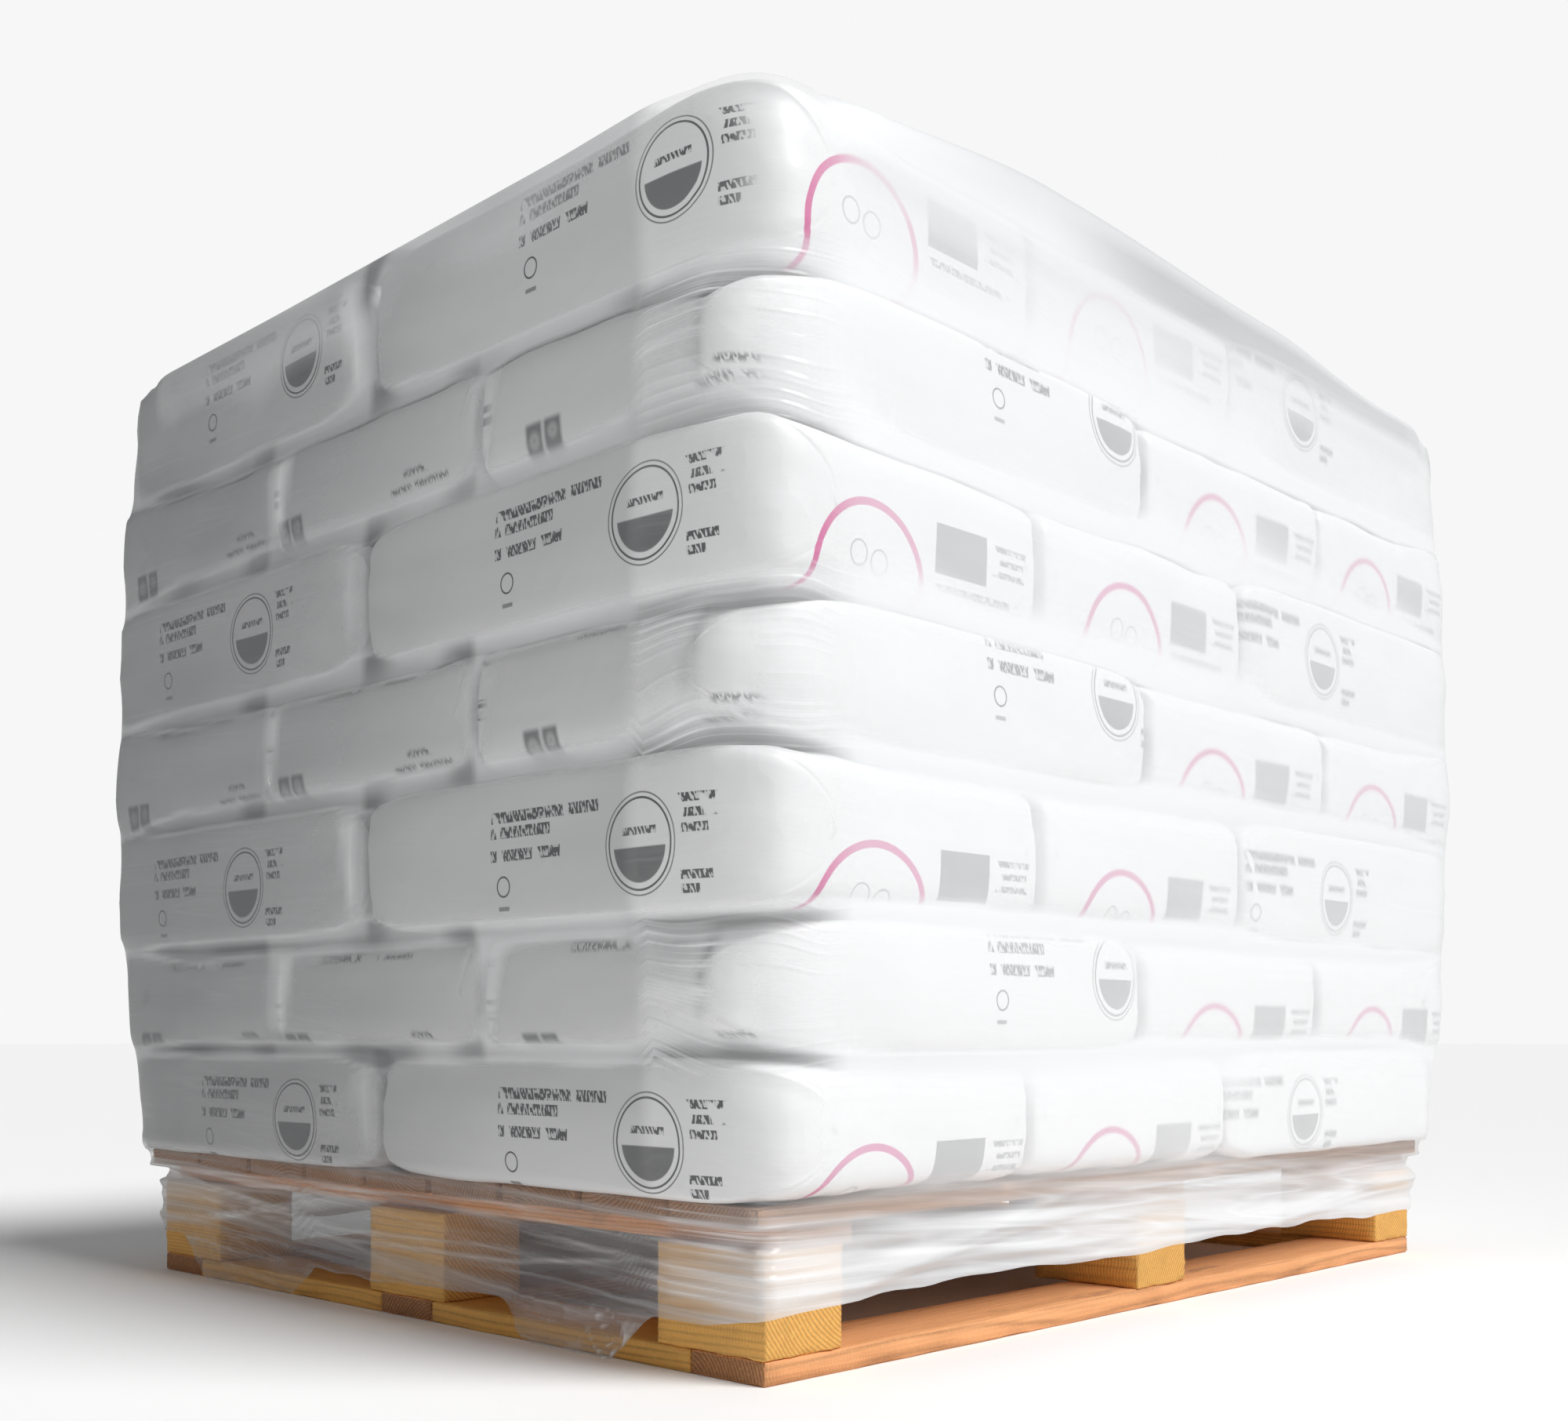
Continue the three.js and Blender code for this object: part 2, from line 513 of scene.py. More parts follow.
def wood_material(name, colour, dark, rough, stain, end_shade):
    """Sawn softwood, whose rings are worked out from each point's distance to the pith of its own board.
    dark is the late wood's colour, rough how deep the saw's marks are, stain how far soil darkens it, and
    end_shade how much darker its end grain is."""
    settings = bpy.context.scene.pallet_timber
    colour = tuple(colour)
    g = Graph(name)
    along, across, up = g.split(g.attribute("grain", "Vector"))
    end = g.attribute("end_face")
    tone = g.attribute("tone")
    slow = g.join(along * 2.2, across * 9.0, up * 9.0)
    sway = g.noise(slow, 1.0, 2.0) - 0.5
    radius = (across * across + up * up).root() + sway * 0.016
    turns = radius / settings.ring_width
    ring = (turns * math.pi).sin()
    late = (ring * ring) ** 3.0
    fibre = g.noise(g.join(along * 9.0, across * 420.0, up * 420.0), 1.0, 3.0, 0.6)
    fibre_end = g.noise(g.join(along * 200.0, across * 300.0, up * 300.0), 1.0, 2.0, 0.6)
    grit = g.noise(g.join(along * 330.0, across * 330.0, up * 330.0), 1.0, 2.0, 0.7)
    blotch = g.noise(g.join(along * 7.0, across * 26.0, up * 26.0), 1.0, 4.0, 0.6)
    base = g.mix((late * 0.38 + (fibre - 0.5) * 0.8 + 0.06).held(), colour, dark)
    base = g.mix(g.step(0.45, 0.75, blotch) * 0.30, base, tuple(0.55 * c for c in colour))
    base = g.mix(end * (end_shade + late * 0.5), base, dark)
    base = g.mix(tone * 0.22, base, tuple(0.5 * c for c in dark))
    soil = g.noise(g.join(along * 3.1, across * 17.0, up * 3.0), 1.0, 5.0, 0.65)
    base = g.mix(g.step(0.60, 0.74, soil) * stain, base, (0.07, 0.05, 0.04))
    base = g.mix((grit - 0.5).most(0.0) * 0.9, base, tuple(min(1.0, 1.5 * c) for c in colour))
    saw = (along * 1500.0 + (g.noise(slow, 3.0, 1.0) * 30.0)).sin() * 0.25
    height = fibre * 0.6 * (1.0 - end) + fibre_end * end + grit * rough + saw * (1.0 - end) * rough
    height = height - late * 0.25
    normal = g.bump(height, 0.9 * MM, 0.75)
    return g.surface(Base_Color=base, Roughness=0.74 + (grit - 0.5) * 0.2, Normal=normal)


def cut_lines(length, step, edge):
    """Where a board is cut across: evenly, with one more line close to each edge."""
    inner = max(2, round((length - 2.0 * edge) / step) + 1)
    return np.concatenate([[0.0], np.linspace(edge, length - edge, inner), [length]])


def box_skin(lines):
    """The points and faces of a box's surface, cut along three lists of lines. A point is given as its
    three indices in them."""
    last = [len(line) - 1 for line in lines]
    number = {}
    faces = []

    def point(key):
        return number.setdefault(key, len(number))

    for axis in range(3):
        first, second = [(1, 2), (2, 0), (0, 1)][axis]
        for side in (0, last[axis]):
            for i in range(last[first]):
                for j in range(last[second]):
                    loop = []
                    for a, b in ((i, j), (i + 1, j), (i + 1, j + 1), (i, j + 1)):
                        key = [0, 0, 0]
                        key[axis], key[first], key[second] = side, a, b
                        loop.append(point(tuple(key)))
                    faces.append(loop if side else loop[::-1])
    return np.array(list(number)), faces


def sawn_board(node, material, rng, step=0.012):
    """A board or block with broken edges and a sawn, slightly uneven face, in the place of its node."""
    settings = bpy.context.scene.pallet_timber
    low, high = [np.array(corner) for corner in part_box(node)]
    size = high - low
    length_axis = int(np.argmax(size))
    across_axis, up_axis = [axis for axis in (0, 1, 2) if axis != length_axis]
    edge = 1.6 * settings.edge_wear
    lines = [cut_lines(size[axis], 2.0 * step if axis == length_axis else step, edge) for axis in range(3)]
    keys, faces = box_skin(lines)
    last = np.array([len(line) - 1 for line in lines])
    local = np.stack([lines[axis][keys[:, axis]] for axis in range(3)], axis=1)
    outward = (keys == last).astype(float) - (keys == 0)
    on_edge = np.abs(outward).sum(axis=1) > 1
    chips = np.clip(0.75 + 0.8 * waves(local, 0.03, rng) + 0.5 * waves(local, 0.008, rng), 0.2, 2.0)
    inset = np.where(on_edge, settings.edge_wear * chips, 0.0)
    rough = np.where(on_edge, 0.0, settings.saw_depth * (waves(local, 0.02, rng) - 0.6))
    points = low + local + outward * (rough - inset)[:, None]
    piece = new_piece(f"{node}_sawn", points, faces, material)
    pith = size * 0.5
    angle = (rng.integers(4) + rng.uniform(0.2, 0.8)) * math.pi / 2
    away = rng.uniform(0.5, 1.1) * (size[across_axis] + size[up_axis])
    pith[across_axis] += away * math.cos(angle)
    pith[up_axis] += away * math.sin(angle)
    centred = local - pith
    shift = rng.uniform(-3.0, 3.0)
    grain = centred[:, [length_axis, across_axis, up_axis]] + np.array([shift, 0.0, 0.0])
    give_attribute(piece.data, "grain", grain)
    give_attribute(piece.data, "end_face", np.abs(outward[:, length_axis]) * (~on_edge))
    give_attribute(piece.data, "tone", np.full(len(points), rng.uniform(0.0, 1.0)))
    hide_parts(node)


class PALLET_OT_boards(bpy.types.Operator):
    """Make the pallet's boards: the bottom frame, the stringers and the deck"""

    bl_idname = "pallet.boards"
    bl_label = "Boards"

    def execute(self, context):
        settings = context.scene.pallet_timber
        rng = np.random.default_rng(BOARD_SEED)
        red = wood_material("reddish pine", settings.red_colour, (0.26, 0.11, 0.04), 0.6, 0.75, 0.7)
        pale = wood_material("yellow pine boards", settings.pale_colour, (0.33, 0.15, 0.04), 0.8, 0.5, 0.3)
        deck = wood_material("deck pine", settings.deck_colour, (0.16, 0.07, 0.035), 0.7, 0.6, 0.2)
        for row in ROWS:
            sawn_board(f"bottom_board_{row}", red, rng)
        for side in ("left", "right"):
            for row in ("front", "back"):
                sawn_board(f"bottom_cross_{side}_{row}", pale, rng)
        for column in COLUMNS:
            sawn_board(f"stringer_{column}", red, rng)
        for board in DECK_BOARDS:
            sawn_board(f"deck_board_{board}", deck, rng)
        return {"FINISHED"}


class PALLET_OT_blocks(bpy.types.Operator):
    """Make the nine rough sawn blocks between the bottom frame and the stringers"""

    bl_idname = "pallet.blocks"
    bl_label = "Blocks"

    def execute(self, context):
        rng = np.random.default_rng(BLOCK_SEED)
        pale_colour = context.scene.pallet_timber.pale_colour
        pale = wood_material("yellow pine blocks", pale_colour, (0.46, 0.23, 0.06), 1.0, 0.15, 0.1)
        for row in ROWS:
            for column in COLUMNS:
                sawn_board(f"block_{row}_{column}", pale, rng, step=0.006)
        return {"FINISHED"}


def nail_tree(material):
    """Geometry Nodes: a low round nail head on every point of the mesh."""
    tree = bpy.data.node_groups.new("nail heads", "GeometryNodeTree")
    interface = tree.interface
    interface.new_socket("Geometry", in_out="INPUT", socket_type="NodeSocketGeometry")
    radius = interface.new_socket("Head radius", in_out="INPUT", socket_type="NodeSocketFloat")
    height = interface.new_socket("Head height", in_out="INPUT", socket_type="NodeSocketFloat")
    interface.new_socket("Geometry", in_out="OUTPUT", socket_type="NodeSocketGeometry")
    nodes, links = tree.nodes, tree.links
    given = nodes.new("NodeGroupInput")
    result = nodes.new("NodeGroupOutput")
    head = nodes.new("GeometryNodeMeshCylinder")
    head.inputs["Vertices"].default_value = 16
    place = nodes.new("GeometryNodeInstanceOnPoints")
    real = nodes.new("GeometryNodeRealizeInstances")
    paint = nodes.new("GeometryNodeSetMaterial")
    paint.inputs["Material"].default_value = material
    links.new(given.outputs["Head radius"], head.inputs["Radius"])
    links.new(given.outputs["Head height"], head.inputs["Depth"])
    links.new(given.outputs["Geometry"], place.inputs["Points"])
    links.new(head.outputs["Mesh"], place.inputs["Instance"])
    links.new(place.outputs["Instances"], real.inputs["Geometry"])
    links.new(real.outputs["Geometry"], paint.inputs["Geometry"])
    links.new(paint.outputs["Geometry"], result.inputs["Geometry"])
    return tree, radius.identifier, height.identifier


class PALLET_OT_nails(bpy.types.Operator):
    """Drive nails through the deck into the stringers, and through the bottom boards into the blocks"""

    bl_idname = "pallet.nails"
    bl_label = "Nails"

    def execute(self, context):
        g = Graph("nail steel")
        spot = g.noise(g.add("ShaderNodeTexCoord", out="Object"), 260.0, 3.0)
        colour = g.mix(g.step(0.5, 0.7, spot), (0.32, 0.32, 0.33), (0.16, 0.09, 0.06))
        steel = g.surface(Base_Color=colour, Roughness=0.3 + spot * 0.3, Metallic=0.9)
        radius, height = 4.5 * MM, 1.6 * MM
        proud = 0.25 * MM
        margin = 0.03
        rng = np.random.default_rng(NAIL_SEED)
        points = []
        for column in COLUMNS:
            low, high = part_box(f"stringer_{column}")
            for board in DECK_BOARDS:
                deck_low, deck_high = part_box(f"deck_board_{board}")
                for share in (0.25, 0.75):
                    x = low[0] + (high[0] - low[0]) * (share + rng.uniform(-0.06, 0.06))
                    room = deck_high[1] - deck_low[1] - 2.0 * margin
                    y = max(deck_low[1], low[1]) + margin + room * share
                    points.append((x, y, deck_high[2] - height / 2 + proud))
        for row in ROWS:
            for column in COLUMNS:
                low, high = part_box(f"block_{row}_{column}")
                board_low, board_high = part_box(f"bottom_board_{row}")
                for share in (0.3, 0.7):
                    x = low[0] + (high[0] - low[0]) * share
                    y = board_low[1] + (board_high[1] - board_low[1]) * (share + rng.uniform(-0.08, 0.08))
                    points.append((x, y, height / 2))
        piece = new_piece("nails", points, [], steel)
        tree, radius_input, height_input = nail_tree(steel)
        modifier = piece.modifiers.new("heads", "NODES")
        modifier.node_group = tree
        modifier[radius_input] = radius
        modifier[height_input] = height
        context.view_layer.update()
        made = bpy.data.meshes.new_from_object(piece.evaluated_get(context.evaluated_depsgraph_get()))
        piece.modifiers.clear()
        piece.data = made
        return {"FINISHED"}


# Sacks

SACK_RINGS = 60
SACK_ROUND = 64
# A layer is two sack widths and one sack length long, and a sack is half as long again as it is wide
LAYER_WIDTHS = 3.5
LENGTH_TO_WIDTH = 1.5
# How square a sack is: where it is pressed against its neighbours, and where it is free, at the load's
# corners. At two of the corners the film is clear, and slack enough to leave the sacks round.
PRESSED = 8.0
FREE = 7.0
ROUND = 4.2
BALL = 3.0
# How far each layer's print lies off its usual place, from the bottom layer up: along the outer sacks that
# lie across the pallet, front and back, along the column of three, and how far up the sides and up the ends
PRINT_PLACES = (
    (-0.027, -0.041, -0.281, -0.020, -0.039),
    (0.0, 0.0, 0.066, 0.008, -0.035),
    (-0.017, -0.108, -0.236, -0.008, -0.022),
    (0.0, 0.0, 0.066, 0.028, -0.020),
    (-0.010, -0.093, -0.271, 0.003, 0.0),
    (0.0, 0.0, 0.066, 0.036, -0.010),
    (0.010, -0.021, -0.306, 0.020, 0.022),
)


def layer_places(layer):
    """Where the seven sacks of a layer lie: middle, the way their length points, the places of their print,
    their free corners, and their length, width and height. Each free corner is the end and the side that
    meet there, how square it is and how far it puffs up."""
    low, high = [np.array(corner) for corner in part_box(f"sack_layer_{layer + 1}")]
    middle = (low + high) / 2
    width = (high[0] - low[0]) / LAYER_WIDTHS
    length = LENGTH_TO_WIDTH * width
    height = high[2] - low[2]
    side = 1.0 if layer % 2 == 0 else -1.0
    left = -(length + 2.0 * width) / 2
    front, back, along, side_rise, end_rise = PRINT_PLACES[layer]
    slack = (ROUND if side > 0.0 else BALL, 12.0 * MM if layer == LAYERS - 1 else 0.0)
    taut_corner = (FREE, 0.0)
    places = []
    for column in (0, 1):
        for row, shift in ((-1, front), (1, back)):
            x = side * (left + (column + 0.5) * width)
            free = [(1, side * row, *(slack if x * row > 0.0 else taut_corner))] if column == 0 else []
            places.append((x, row * length / 2, math.radians(90.0 * row), shift, 0.0, free))
    for row in (-1, 0, 1):
        x = side * (left + 2.0 * width + length / 2)
        turn = math.pi if side > 0.0 else 0.0
        free = [(-1, -side * row, *(slack if x * row > 0.0 else taut_corner))] if row else []
        places.append((x, row * width, turn, along, 0.045 * (row == 0), free))
    found = []
    for x, y, turn, shift, end_shift, free in places:
        prints = (shift, side_rise, end_shift, end_rise)
        found.append((np.array([x, y, middle[2]]), turn, prints, free, length, width, height))
    return found


def rounded(share, power):
    """The height of a rounded end at each share of the way out to it."""
    return (1.0 - np.clip(np.abs(share), 0.0, 1.0) ** power) ** (1.0 / power)


def squared_oval(angle, half_width, half_height, flat_sides, flat_top):
    """Points round an oval whose sides and top are the flatter, the higher their two powers are."""
    cosine, sine = np.cos(angle), np.sin(angle)
    x = np.sign(cosine) * np.abs(cosine) ** (2.0 / flat_sides) * half_width
    y = np.sign(sine) * np.abs(sine) ** (2.0 / flat_top) * half_height
    return np.stack([x, y], axis=1)


def sack_form(length, width, height, free):
    """A filled sack about its middle, its length along X, as rings of points from end to end. free holds
    the corners where nothing presses on it, as (end, side, how square, how far it puffs up)."""
    half_length = length / 2 - 3.0 * MM
    half_width = width / 2 - 0.4 * MM
    half_height = height / 2
    flat_sides, flat_top = 22.0, 20.0
    side_bulge, end_bulge = 0.024, 0.018
    end_breadth, free_breadth, slit = 0.86, 0.50, 0.012
    profile = squared_oval(np.linspace(math.pi, 0.0, 241), half_length, half_height, PRESSED, PRESSED)
    run = even_steps(profile, SACK_RINGS, bend=0.03)
    reach = np.clip(run[:, 0] / half_length, -1.0, 1.0)[:, None]
    turn = np.linspace(0.0, 2.0 * math.pi, 721)
    around = squared_oval(turn, half_width, half_height, flat_sides, flat_top)
    around = even_steps(around, SACK_ROUND + 1, weight=(0.45, 1.1), bend=0.05)[:-1][None, :]
    rise = rounded(reach, PRESSED) * np.ones(SACK_ROUND)
    breadth = blend(end_breadth, rise, 1.0)
    puffed = np.zeros((SACK_RINGS, SACK_ROUND))
    for end, side, square, puff in free:
        there = smooth(0.3, 0.9, end * reach) * smooth(-0.1, 0.8, side * around[:, :, 0] / half_width)
        breadth = blend(breadth, there, blend(free_breadth, rounded(reach, square), 1.0))
        rise = blend(rise, there, rounded(reach, (square - 1.0) ** 1.9))
        puffed += there * puff
    rise[0] = rise[-1] = slit
    level = around[:, :, 1] * rise
    level += puffed * smooth(0.0, half_height, level)
    lean = np.minimum((level / half_height) ** 2, 1.0)
    rings = np.empty((SACK_RINGS, SACK_ROUND, 3))
    rings[:, :, 0] = reach * half_length * (1.0 - end_bulge * lean)
    rings[:, :, 1] = around[:, :, 0] * breadth * (1.0 - side_bulge * lean)
    rings[:, :, 2] = level
    return rings


def ring_faces(rings, around):
    """Quads between rings of points, and across the flat slit that closes each end."""
    faces = [(a, d, c, b) for a, b, c, d in grid_faces(rings, around)]
    for start, flip in ((0, False), ((rings - 1) * around, True)):
        for i in range(around // 2):
            corners = (i, i + 1, (around - i - 1) % around, (around - i) % around)
            loop = list(dict.fromkeys(start + corner for corner in corners))
            if len(loop) > 2:
                faces.append(loop[::-1] if flip else loop)
    return faces


def grid_normals(grid):
    """Outward normals of rings of points."""
    forward = np.gradient(grid, axis=0)
    around = np.roll(grid, -1, axis=1) - np.roll(grid, 1, axis=1)
    normal = np.cross(around, forward)
    size = np.linalg.norm(normal, axis=2, keepdims=True)
    return -normal / np.maximum(size, 1e-12)


def crumple(grid, length, height, settings, rng):
    """Lumps of the filling, gathers that run in from the welded ends, and arcs pressed in beside them."""
    normal = grid_normals(grid)
    flat = np.abs(grid[:, :, 2]) / (height / 2)
    push = settings.lump * waves(grid, 0.16, rng) * (1.0 - 0.7 * smooth(0.8, 1.0, flat))
    share = np.abs(grid[:, :, 0]) / (length / 2)
    by_end = within(0.70, 0.95, 0.975, 0.995, share)
    turn = np.linspace(0.0, 2.0 * math.pi, grid.shape[1], endpoint=False)[None, :]
    gather = np.zeros(grid.shape[:2])
    for _ in range(7):
        pleats = rng.integers(7, 19)
        lean = rng.uniform(-14.0, 14.0)
        gather += 1.0 - np.abs(np.sin(pleats * turn / 2 + lean * grid[:, :, 0] + rng.uniform(0.0, 6.28)))
    push -= settings.crease * by_end * (gather - 2.5) * 0.5
    inward = length / 2 - np.abs(grid[:, :, 0])
    far = np.hypot(inward, grid[:, :, 2] + rng.uniform(-0.02, 0.02))
    arcs = 1.0 - np.abs(np.sin(far * math.pi / 0.021 + waves(grid, 0.2, rng, 6)))
    on_side = smooth(0.80, 0.95, np.abs(grid[:, :, 1]) / np.abs(grid[:, :, 1]).max())
    push -= 0.9 * settings.crease * arcs**3 * on_side * within(0.03, 0.05, 0.08, 0.13, far)
    top = 0.8 * settings.lump * waves(grid, 0.05, rng, 10, (2.0, 1.0, 1.0))
    top *= 1.0 - smooth(0.9, 1.0, share)
    push += top * (0.25 + 0.75 * smooth(0.5, 0.9, share))
    return grid + normal * push[:, :, None]


def print_marks(g):
    """The printed marks on a sack: bars in place of words, a round badge, rings and plates. It returns how
    much ink and how much of the mark's colour there is at each point."""
    side = g.split(g.add("ShaderNodeUVMap", uv_map="side_print"))
    end = g.split(g.add("ShaderNodeUVMap", uv_map="end_print"))
    on_side = g.attribute("on_side")
    on_mark_end = g.attribute("on_mark_end")
    on_bar_end = g.attribute("on_bar_end")
    veil = g.attribute("veil")
    soft = 0.0005 + veil * 0.0055

    def box(u, v, u0, u1, v0, v1):
        """A filled oblong, from u0 to u1 and from v0 to v1."""
        return g.band(u0, u1, soft, u) * g.band(v0, v1, soft, v)

    def letters(u, v):
        """Short broken strokes in groups, which look like words from afar."""
        lean = u + v * 0.25
        stroke = g.step(0.42, 0.50, g.noise(g.join(lean / 0.0024, v / 0.0070), 1.0, 0.0))
        gap = g.step(0.30, 0.34, g.noise(g.join(lean / 0.018, v / 0.040), 1.0, 0.0))
        broken = stroke * 0.85 + 0.15
        return gap * (broken + (1.0 - broken) * veil)

    def lines(u, v, *rows):
        """Rows of letters, each from u0 to u1 and from v0 to v1."""
        total = box(u, v, *rows[0])
        for row in rows[1:]:
            total = total + box(u, v, *row)
        return total * letters(u, v)

    def far(u, v, u0, v0):
        """How far it is from the point u0, v0."""
        du, dv = u - u0, v - v0
        return (du * du + dv * dv).root()

    # The marks' places are in metres, along a side from its end or across an end, and up from its foot
    u, v = side[0], side[1]
    rows = (
        (0.245, 0.405, 0.106, 0.117),
        (0.245, 0.335, 0.091, 0.102),
        (0.245, 0.350, 0.069, 0.080),
        (0.440, 0.484, 0.080, 0.087),
        (0.508, 0.556, 0.104, 0.112),
        (0.510, 0.552, 0.091, 0.099),
        (0.512, 0.544, 0.078, 0.086),
        (0.512, 0.546, 0.038, 0.046),
        (0.512, 0.532, 0.026, 0.034),
    )
    ink = lines(u, v, *rows)
    ring_soft = soft * 0.6
    ink = ink + g.band(0.0085, 0.0103, ring_soft, far(u, v, 0.264, 0.045))
    ink = ink + box(u, v, 0.256, 0.272, 0.022, 0.026) * 0.7
    badge = far(u, v, 0.462, 0.072)
    ink = ink + g.band(0.0395, 0.0415, ring_soft, badge) + g.band(0.0445, 0.0460, ring_soft, badge) * 0.8
    lower = (1.0 - g.step(0.0335, 0.0350, badge)) * (1.0 - g.step(0.068, 0.070, v))
    ink = (ink + lower * 0.9) * on_side
    u, v = end[0], end[1]
    arch = far(u, v, 0.140, 0.014)
    mark = g.band(0.069, 0.076, soft, arch) * on_mark_end
    dots = g.band(0.010, 0.012, soft * 0.5, far(u, v, 0.124, 0.040))
    dots = dots + g.band(0.010, 0.012, soft * 0.5, far(u, v, 0.152, 0.036))
    plate = box(u, v, 0.228, 0.302, 0.042, 0.088) * 0.72
    rows = (
        (0.312, 0.367, 0.078, 0.084),
        (0.312, 0.360, 0.066, 0.072),
        (0.312, 0.372, 0.054, 0.060),
        (0.230, 0.352, 0.026, 0.033),
    )
    ink = ink + (dots * 0.5 + plate + lines(u, v, *rows) * 0.7) * on_mark_end
    soft = soft + 0.0030
    rows = (
        (0.150, 0.232, 0.132, 0.141),
        (0.262, 0.330, 0.133, 0.138),
        (0.300, 0.400, 0.038, 0.044),
        (0.325, 0.372, 0.052, 0.058),
    )
    low_text = lines(u, v, *rows)
    squares = box(u, v, 0.072, 0.096, 0.024, 0.056) + box(u, v, 0.100, 0.124, 0.024, 0.056)
    hole = g.band(0.000, 0.008, soft, far(u, v, 0.084, 0.040))
    hole = hole + g.band(0.000, 0.007, soft, far(u, v, 0.112, 0.044))
    ink = ink + (low_text * 0.8 + squares * 0.8 * (1.0 - hole * 0.4)) * on_bar_end
    fade = 1.0 - veil * 0.62
    return ink.held() * fade, mark.held() * fade


def sack_material():
    """White sack plastic with its print, softly mottled by the filling behind it."""
    settings = bpy.context.scene.pallet_sacks
    g = Graph("printed sack plastic")
    place = g.add("ShaderNodeTexCoord", out="Object")
    ink, mark = print_marks(g)
    cloud = g.noise(place, 14.0, 0.0)
    base = g.mix((cloud - 0.35).held() * 0.25, tuple(settings.plastic_colour), (0.84, 0.85, 0.865))
    base = g.mix(mark * 0.88, base, tuple(settings.mark_colour))
    base = g.mix(ink * 0.93, base, tuple(settings.ink_colour))
    crinkle = abs(g.noise(place, 26.0, 1.0, 0.5) - 0.5) * -2.0
    normal = g.bump(crinkle, 1.5 * MM, 0.55)
    return g.surface(Base_Color=base, Roughness=0.40 + cloud * 0.08, Normal=normal, Coat_Weight=0.08)


def turned(points, angle):
    """Points turned about Z."""
    x, y, z = points.T
    cosine, sine = math.cos(angle), math.sin(angle)
    return np.stack([x * cosine - y * sine, x * sine + y * cosine, z], axis=1)


def make_sack(name, place, material, settings, rng):
    """One sack in its place: crumpled, turned, moved, and given the places of its print."""
    middle, turn, prints, free, length, width, height = place
    shift, side_rise, end_shift, end_rise = prints
    grid = sack_form(length, width, height, free)
    bare = grid.copy()
    grid = crumple(grid, length, height, settings, rng)
    limit = height / 2
    puff = max([corner[3] for corner in free], default=0.0)
    grid[:, :, 2] = np.clip(grid[:, :, 2], -limit, limit + puff)
    yaw = turn + math.radians(rng.uniform(-0.2, 0.2))
    stray = np.array([rng.uniform(-1.0, 1.0), rng.uniform(-1.0, 1.0), 0.0]) * settings.stray
    points = turned(grid.reshape(-1, 3), yaw) + middle + stray
    piece = new_piece(name, points, ring_faces(*grid.shape[:2]), material)
    local = bare.reshape(-1, 3)
    across = np.sign(local[:, 1])
    ahead = np.sign(local[:, 0])
    rise = local[:, 2] + height / 2
    along = length / 2 - across * local[:, 0] - shift
    slip = 0.012
    beside_middle = width / 2 + ahead * local[:, 1] + end_shift + rng.uniform(-slip, slip)
    side_print = np.stack([along, rise - side_rise], axis=1)
    end_print = np.stack([beside_middle, rise - end_rise], axis=1)
    corners = corner_points(piece.data)
    give_uv(piece.data, "side_print", side_print[corners])
    give_uv(piece.data, "end_print", end_print[corners])
    endways = np.abs(local[:, 0]) / (length / 2)
    sideways = np.abs(local[:, 1]) / (width / 2)
    at_end = smooth(0.84, 0.90, endways) * (1.0 - smooth(0.90, 0.97, sideways))
    give_attribute(piece.data, "on_side", smooth(0.86, 0.93, sideways))
    give_attribute(piece.data, "on_mark_end", at_end * (ahead > 0))
    give_attribute(piece.data, "on_bar_end", at_end * (ahead <= 0))
    give_attribute(piece.data, "veil", np.zeros(len(local)))
    return piece


class PALLET_OT_sacks(bpy.types.Operator):
    """Fill and stack the sacks, seven layers of seven, each layer turned end for end on the one below"""

    bl_idname = "pallet.sacks"
    bl_label = "Sacks"

    def execute(self, context):
        settings = context.scene.pallet_sacks
        rng = np.random.default_rng(settings.seed)
        material = sack_material()
        for layer in range(LAYERS):
            pieces = []
            for number, place in enumerate(layer_places(layer)):
                name = f"sack_{layer + 1}_{number + 1}"
                pieces.append(make_sack(name, place, material, settings, rng))
            for piece in pieces:
                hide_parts(f"sack_layer_{layer + 1}")
        return {"FINISHED"}


# Film

SKIRT_ROWS = 50
SHOULDER_ANGLES = (6, 12, 18, 22, 25, 28, 31, 34, 37, 40, 43, 47, 52, 58, 66, 77, 90)
ROOF_ROWS = 9
CORNER_COLUMNS = 26
REACH = 0.3
UPRIGHT_PULL = 1.5
# The rows that may touch timber, and how far under the load's top the film starts to curve in over it
TIMBER_ROWS = SKIRT_ROWS + 4
SHOULDER_DROP = 0.06


def side_marks(length, fine_end):
    """Where a straight side is cut, from -1 to 1: closely near its start and over fine_end of it at its
    end, and coarsely between."""
    fine, coarse, near = 6.5 * MM, 15.0 * MM, 0.15
    start_cuts = np.linspace(0.0, near, round(near / fine) + 1)
    end_cuts = np.linspace(length - fine_end, length, round(fine_end / fine) + 1)
    between = np.linspace(near, length - fine_end, round((length - near - fine_end) / coarse) + 1)[1:-1]
    return np.concatenate([start_cuts, between, end_cuts]) / length * 2.0 - 1.0


def wall_heights(low, high, seams):
    """The heights of the film's rows up the load: close together by the seams between the layers."""
    heights = np.linspace(low, high, 4000)
    away = np.abs(heights[:, None] - np.asarray(seams)[None, :]).min(axis=1)
    step = (4.0 + 9.0 * smooth(12.0 * MM, 34.0 * MM, away)) * MM
    run = np.concatenate([[0.0], np.cumsum(np.diff(heights) / step[1:])])
    return np.interp(np.linspace(0.0, run[-1], round(run[-1]) + 1), run, heights)


